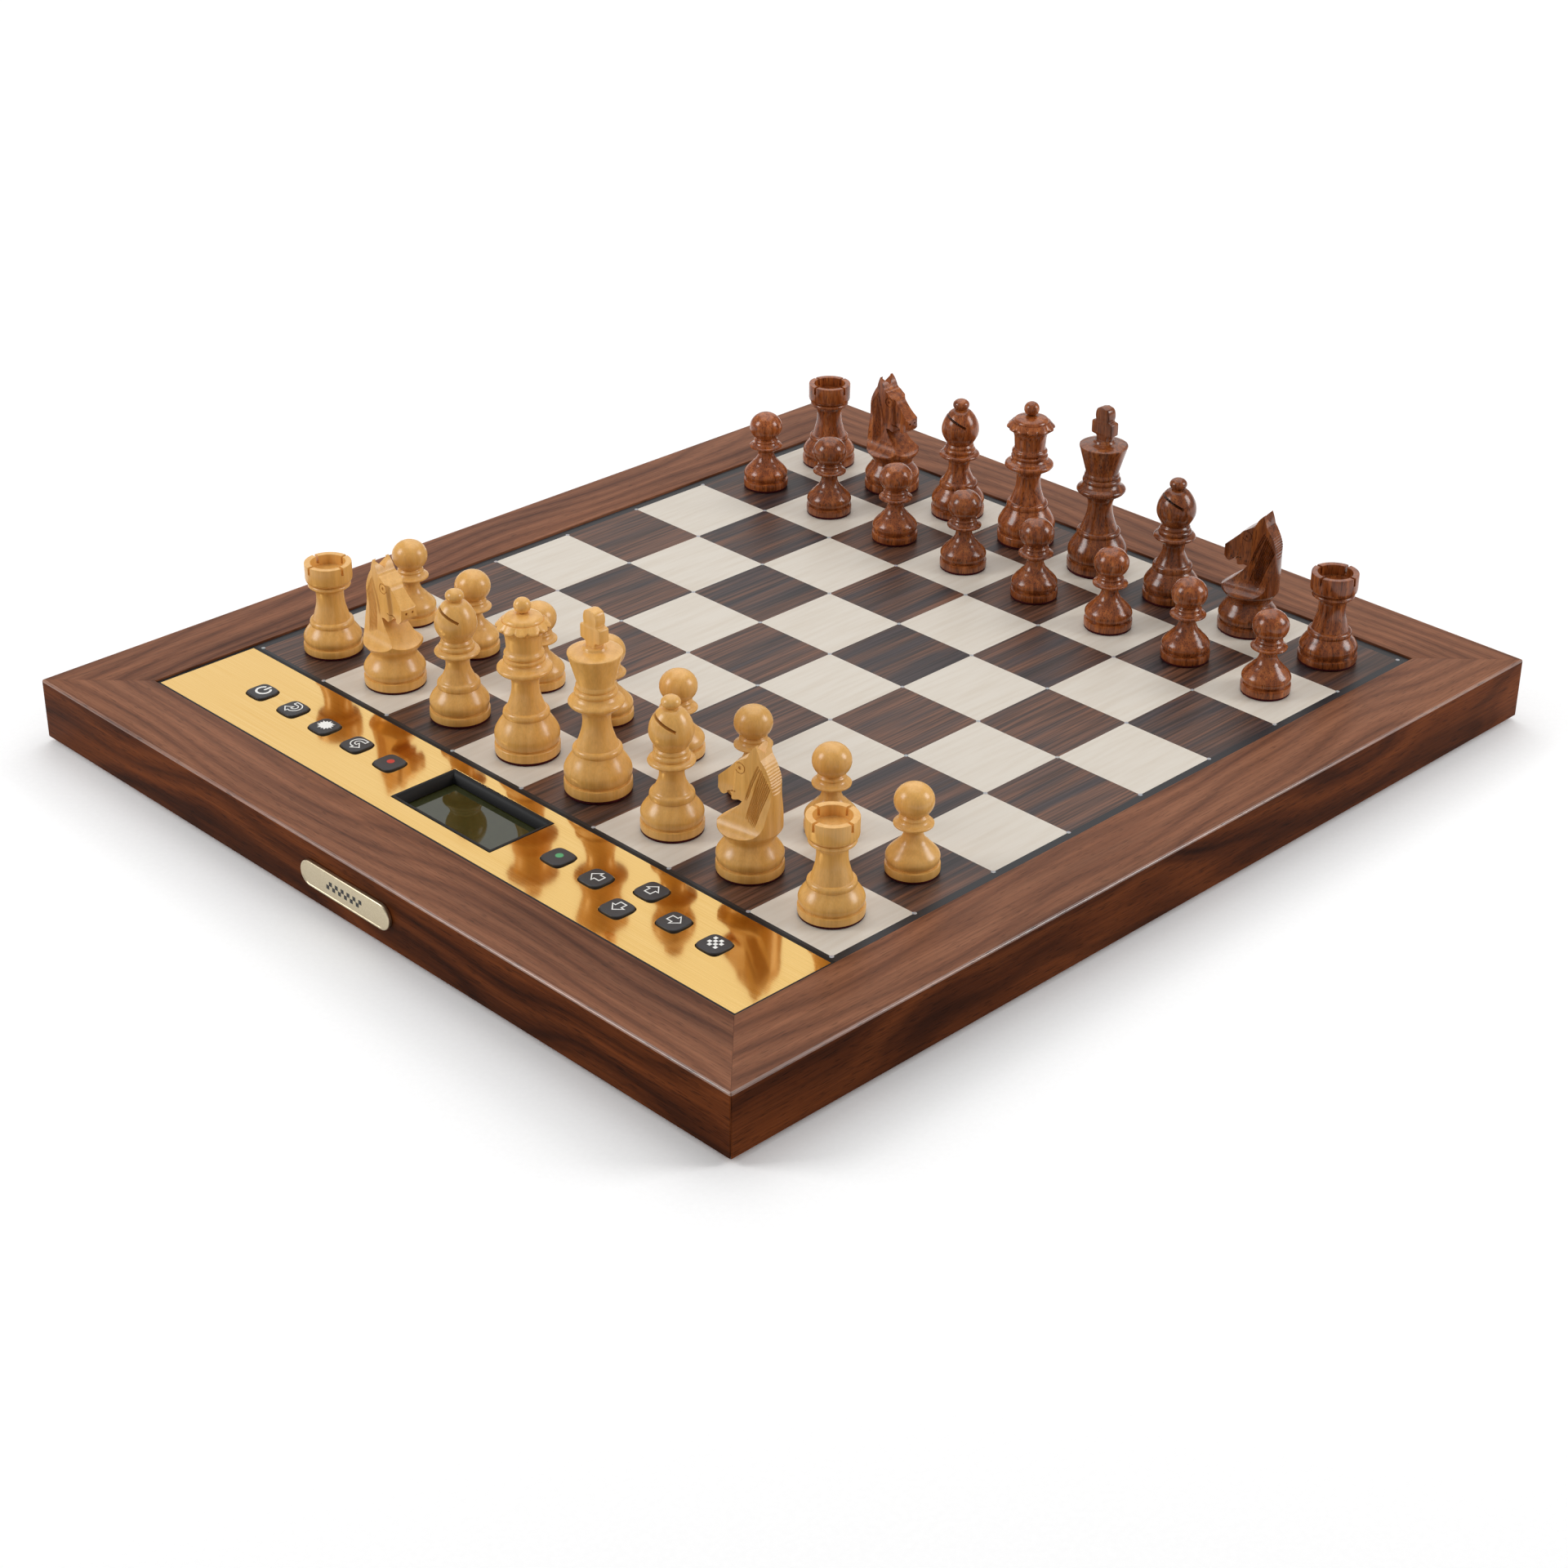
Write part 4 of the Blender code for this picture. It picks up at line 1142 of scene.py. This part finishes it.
def sideHalf(x, z, lines):
    shape = knightShape
    back = clamp((-1.0 - x) / 10.0)
    cheek = clamp((x - 3.4 + (z - 36) * 0.12) / 1.3)
    nose = clamp((x - 6.5) / 4.5)
    upper = shape["faceHalf"] + (shape["backHalf"] - shape["faceHalf"]) * back
    upper += (shape["waistHalf"] - shape["faceHalf"]) * cheek * cheek * (3 - 2 * cheek)
    upper += (shape["noseHalf"] - shape["waistHalf"]) * nose * nose
    t = clamp((34.0 - z) / 13.0)
    lower = t * t * (3 - 2 * t)
    half = upper * (1 - lower) + shape["skirtHalf"] * lower
    drop = min(max(0.0, shape["scoopTop"] - z), shape["scoopRadius"] - 0.01)
    half += shape["scoopRadius"] - math.sqrt(shape["scoopRadius"] ** 2 - drop ** 2)
    return half - grooveDepth(x, z, lines)


def sideCutter(sign):
    # everything outside the carved flank, on one side
    lines = grooveLines()
    columns, rows = 230, 84
    bm = bmesh.new()
    near, far = [], []
    for row in range(rows + 1):
        z = knightShape["rim"] + (54.5 - knightShape["rim"]) * row / rows
        inner, outer = [], []
        for column in range(columns + 1):
            x = -14.5 + 29.0 * column / columns
            inner.append(bm.verts.new((x * mm, sign * sideHalf(x, z, lines) * mm, z * mm)))
            outer.append(bm.verts.new((x * mm, sign * 16 * mm, z * mm)))
        near.append(inner)
        far.append(outer)
    for grid in (near, far):
        for row in range(rows):
            for column in range(columns):
                lower, upper = grid[row], grid[row + 1]
                bm.faces.new((lower[column], lower[column + 1], upper[column + 1], upper[column]))
    for row in (0, rows):
        for column in range(columns):
            bm.faces.new((near[row][column], near[row][column + 1], far[row][column + 1], far[row][column]))
    for column in (0, columns):
        for row in range(rows):
            bm.faces.new((near[row][column], near[row + 1][column], far[row + 1][column], far[row][column]))
    return meshFrom("side", bm)


def knightMesh():
    start, runs = footRuns(*knightShape["foot"])
    item = latheMesh("knight", outlineOf(start, runs + knightShape["blank"]), 72)
    silhouette = flatCurve("silhouette", [[(x * mm, z * mm) for x, z in knightSilhouette()]], 30 * mm)
    silhouette.transform(Matrix.Rotation(math.pi / 2, 4, "X"))
    combine(item, silhouette, "INTERSECT")
    eyeX, eyeZ = knightShape["eye"]
    for sign in (1, -1):
        combine(item, sideCutter(sign), "DIFFERENCE")
        bm = bmesh.new()
        half = sideHalf(eyeX, eyeZ, [])
        for outer, inner, depth in knightShape["eyeRings"]:
            ringLoops = []
            corners = ((outer, half + 1), (outer, half - depth), (inner, half - depth), (inner, half + 1))
            for radius, y in corners:
                ringLoops.append([
                    ((eyeX + radius * math.cos(2 * math.pi * k / 32)) * mm, sign * y * mm,
                     (eyeZ + radius * math.sin(2 * math.pi * k / 32)) * mm) for k in range(32)
                ])
            if inner:
                loft(bm, ringLoops, ring=True)
            else:
                loft(bm, ringLoops[:2])
        combine(item, meshFrom("eye", bm), "DIFFERENCE")
    # ears parted, mouth and nostrils
    combine(item, boxAt((16, 4.2, 4.2), (-4, 0, 51.0), turnAbout("X", 45)), "DIFFERENCE")
    combine(item, boxAt((4.6, 14, 0.4), (5.2, 0, 31.2), turnAbout("Y", 22)), "DIFFERENCE")
    for sign in (1, -1):
        bm = bmesh.new()
        place = Matrix.Translation((11.6 * mm, sign * 1.5 * mm, 33.6 * mm)) @ turnAbout("Y", 75)
        bmesh.ops.create_cone(bm, cap_ends=True, segments=16, radius1=0.42 * mm, radius2=0.55 * mm,
                              depth=2.4 * mm, matrix=place)
        combine(item, meshFrom("nostril", bm), "DIFFERENCE")
    return smoothed(bakeObject(item), 32)


def feltMesh(radius, top):
    # a felt disc with a slightly ragged, rounded edge
    points = [(radius - 0.25, 0.05), (radius, 0.25), (radius + 0.05, 0.6), (radius - 0.1, top)]
    return smoothed(bakeObject(latheMesh("felt", points, 48)), 60)


def makeSet():
    meshes = {
        "pawn": smoothed(bakeObject(shapeItem("pawn", pawnShape)), 45),
        "rook": rookMesh(),
        "knight": knightMesh(),
        "bishop": bishopMesh(),
        "queen": queenMesh(),
        "king": kingMesh(),
    }
    shapes = {"pawn": pawnShape, "rook": rookShape, "knight": knightShape, "bishop": bishopShape,
              "queen": queenShape, "king": kingShape}
    felts = {kind: feltMesh(shape["foot"][0] - 0.2, shape["foot"][1] + 0.3) for kind, shape in shapes.items()}
    spin = random.Random(7)
    for node in sorted(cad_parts):
        words = node.split("_")
        side, kind = words[0], words[1]
        if side not in ("light", "dark"):
            continue
        centre = middleOf(node)
        centre.z = surface
        item = newObject("turned_" + node, meshes[kind].copy(), finish[side + "Wood"])
        item.location = centre
        if kind == "knight" and node.endswith("_g"):
            item.rotation_euler.z = math.pi + math.radians(knightShape["turn"])
        elif kind == "pawn":
            item.rotation_euler.z = spin.uniform(0, 2 * math.pi)
        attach(item, node)
        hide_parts(node)
        felt = newObject("felt_" + node, felts[kind].copy(), finish["felt"])
        felt.location = centre
        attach(felt, node)


makeSet()
print("chess set made")


# lights at the corners of the squares, in one mesh

lens = {"radius": 0.85, "rise": 0.1, "sides": 20}


def makeLights():
    bm = bmesh.new()
    for column in range(9):
        for row in range(9):
            x = fieldCorner[0] + column * square
            y = fieldCorner[1] + row * square
            sections = []
            for radius, z in ((lens["radius"], -0.15), (lens["radius"], 0.02), (lens["radius"] - 0.12, 0.07),
                              (lens["radius"] * 0.5, lens["rise"])):
                sections.append([
                    (x + radius * mm * math.cos(2 * math.pi * k / lens["sides"]),
                     y + radius * mm * math.sin(2 * math.pi * k / lens["sides"]), surface + z * mm)
                    for k in range(lens["sides"])
                ])
            loft(bm, sections)
    item = newObject("square_lights", smoothed(meshFrom("squareLights", bm), 50), finish["lens"])
    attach(item, "case")


makeLights()
print("square lights made")


# socket, screws and the parts that keep their solid

socket = {"corner": 0.8 * mm, "edge": 0.25 * mm, "bore": 3.3, "mouth": 3.8, "depth": 9.0, "pin": 1.0}


def makeSocket():
    low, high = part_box("power_socket")
    centre = (low + high) / 2
    flat = Matrix.Rotation(math.pi / 2, 4, "X")
    loop = roundedRectangle(high.x - low.x, high.z - low.z, socket["corner"], 0, (0, 0), 5)
    mesh = flatCurve("socketBody", [loop], high.y - low.y, socket["edge"])
    mesh.transform(Matrix.Translation(centre) @ flat)
    item = newObject("socket_body", mesh)
    facing = Matrix.Translation((centre.x, high.y, centre.z)) @ Matrix.Rotation(-math.pi / 2, 4, "X")
    bore = bakeObject(latheMesh("bore", [
        (socket["bore"] - 0.2, -socket["depth"]), (socket["bore"], 0.2 - socket["depth"]),
        (socket["bore"], -0.5), (socket["mouth"], 0.2), (socket["mouth"], 1.0),
    ], 48))
    bore.transform(facing)
    combine(item, bore, "DIFFERENCE")
    item = newObject("power_socket_body", smoothed(bakeObject(item), 30), finish["blackAbs"])
    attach(item, "case")
    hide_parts("power_socket")
    pin = smoothed(bakeObject(latheMesh("pin", outlineOf((socket["pin"], -socket["depth"] - 0.2), [
        [(socket["pin"], -1.6)], [(0.95, -1.1), (0.6, -0.75), (0.05, -0.7)],
    ]), 32)), 40)
    pin.transform(facing)
    item = newObject("power_socket_pin", pin, finish["zinc"])
    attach(item, "case")


screw = {"radius": 3.0, "height": 0.9, "edge": 9.0 * mm}


def makeScrews():
    # countersunk cross-head screws along the edges of the base plate
    low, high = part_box("base_plate")
    centre = (low + high) / 2
    head = latheMesh("head", outlineOf((1.2, -2.0), [
        [(1.2, -0.2)], [(screw["radius"], 0.05)], [(2.7, 0.45), (1.6, 0.8), (0.3, screw["height"])],
    ]), 36)
    for degrees in (0, 90):
        combine(head, boxAt((3.4, 0.6, 1.4), (0, 0, screw["height"]), turnAbout("Z", degrees)), "DIFFERENCE")
    single = bakeObject(head)
    single.transform(Matrix.Rotation(math.pi, 4, "X"))
    bm = bmesh.new()
    reachX = (high.x - low.x) / 2 - screw["edge"]
    reachY = (high.y - low.y) / 2 - screw["edge"]
    places = [(i * reachX, j * reachY) for i in (-1, 1) for j in (-1, 0, 1)] + [(0, -reachY), (0, reachY)]
    for x, y in places:
        copy = single.copy()
        copy.transform(Matrix.Translation((centre.x + x, centre.y + y, low.z)))
        bm.from_mesh(copy)
    item = newObject("base_screws", smoothed(meshFrom("baseScrews", bm), 40), finish["zinc"])
    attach(item, "case")


makeSocket()
makeScrews()
print("socket and screws made")

kept = {"playing_board": "board", "display_module": "glass", "base_plate": "fibreboard",
        "sensor_board": "circuit", "main_board": "circuit"}
for node, wanted in kept.items():
    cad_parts[node].data.materials.clear()
    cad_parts[node].data.materials.append(finish[wanted])
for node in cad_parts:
    if node.startswith("foot_"):
        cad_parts[node].data.materials.clear()
        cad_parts[node].data.materials.append(finish["footRubber"])
print("kept solids finished")


# floor, light and camera

def makeFloor():
    bm = bmesh.new()
    bmesh.ops.create_grid(bm, x_segments=24, y_segments=24, size=5.0)
    floor = newObject("studio_floor", meshFrom("floor", bm), grainedSurface(
        "whitePaperSweep", "fcfcfc", "fafafa", 2.0, 0.9, 0.0))
    floor.location.z = -0.0005


def addLamp(name, place, target, size, power):
    lamp = bpy.data.lights.new(name, "AREA")
    lamp.shape = "RECTANGLE"
    lamp.size, lamp.size_y = size
    lamp.energy = power
    item = bpy.data.objects.new(name, lamp)
    item.location = place
    item.rotation_euler = (Vector(target) - Vector(place)).to_track_quat("-Z", "Y").to_euler()
    scene.collection.objects.link(item)


def makeLight():
    world = bpy.data.worlds.new("studio")
    scene.world = world
    world.use_nodes = True
    world.node_tree.nodes["Background"].inputs["Color"].default_value = hexToLinear("ffffff")
    world.node_tree.nodes["Background"].inputs["Strength"].default_value = 0.37
    middle = (0, 0, 0.03)
    addLamp("overhead", (-0.34, 0.40, 1.5), middle, (1.7, 1.7), 12.6)
    addLamp("backCard", (-1.25, 1.23, 0.95), middle, (1.8, 1.0), 3.9)
    addLamp("leftSoftbox", (-0.78, -1.10, 0.87), middle, (0.6, 0.7), 10.4)
    addLamp("rightSoftbox", (1.04, 0.94, 0.79), middle, (0.6, 0.7), 10.4)
    # behind the card and turned away from the board, so that it brightens only the far floor
    addLamp("backdropLamp", (-1.5, 1.5, 1.3), (-2.2, 2.2, 0), (2.4, 0.6), 24)


view = {
    "target": (0.0642, -0.0661, 0.0257), "azimuth": 45.416, "elevation": 28.880, "roll": 0.417,
    "distance": 1.0885, "lens": 68.06,
}


def makeCamera():
    data = bpy.data.cameras.new("camera")
    data.lens = view["lens"]
    data.sensor_width = 36.0
    data.clip_end = 50.0
    item = bpy.data.objects.new("camera", data)
    turn = turnAbout("Z", view["azimuth"]) @ turnAbout("X", 90 - view["elevation"])
    turn = turn @ turnAbout("Z", view["roll"])
    back = turn.to_3x3() @ Vector((0, 0, view["distance"]))
    item.matrix_world = Matrix.Translation(Vector(view["target"]) + back) @ turn
    scene.collection.objects.link(item)
    scene.camera = item


makeFloor()
makeLight()
makeCamera()
scene.view_settings.view_transform = "Standard"
print("studio made")
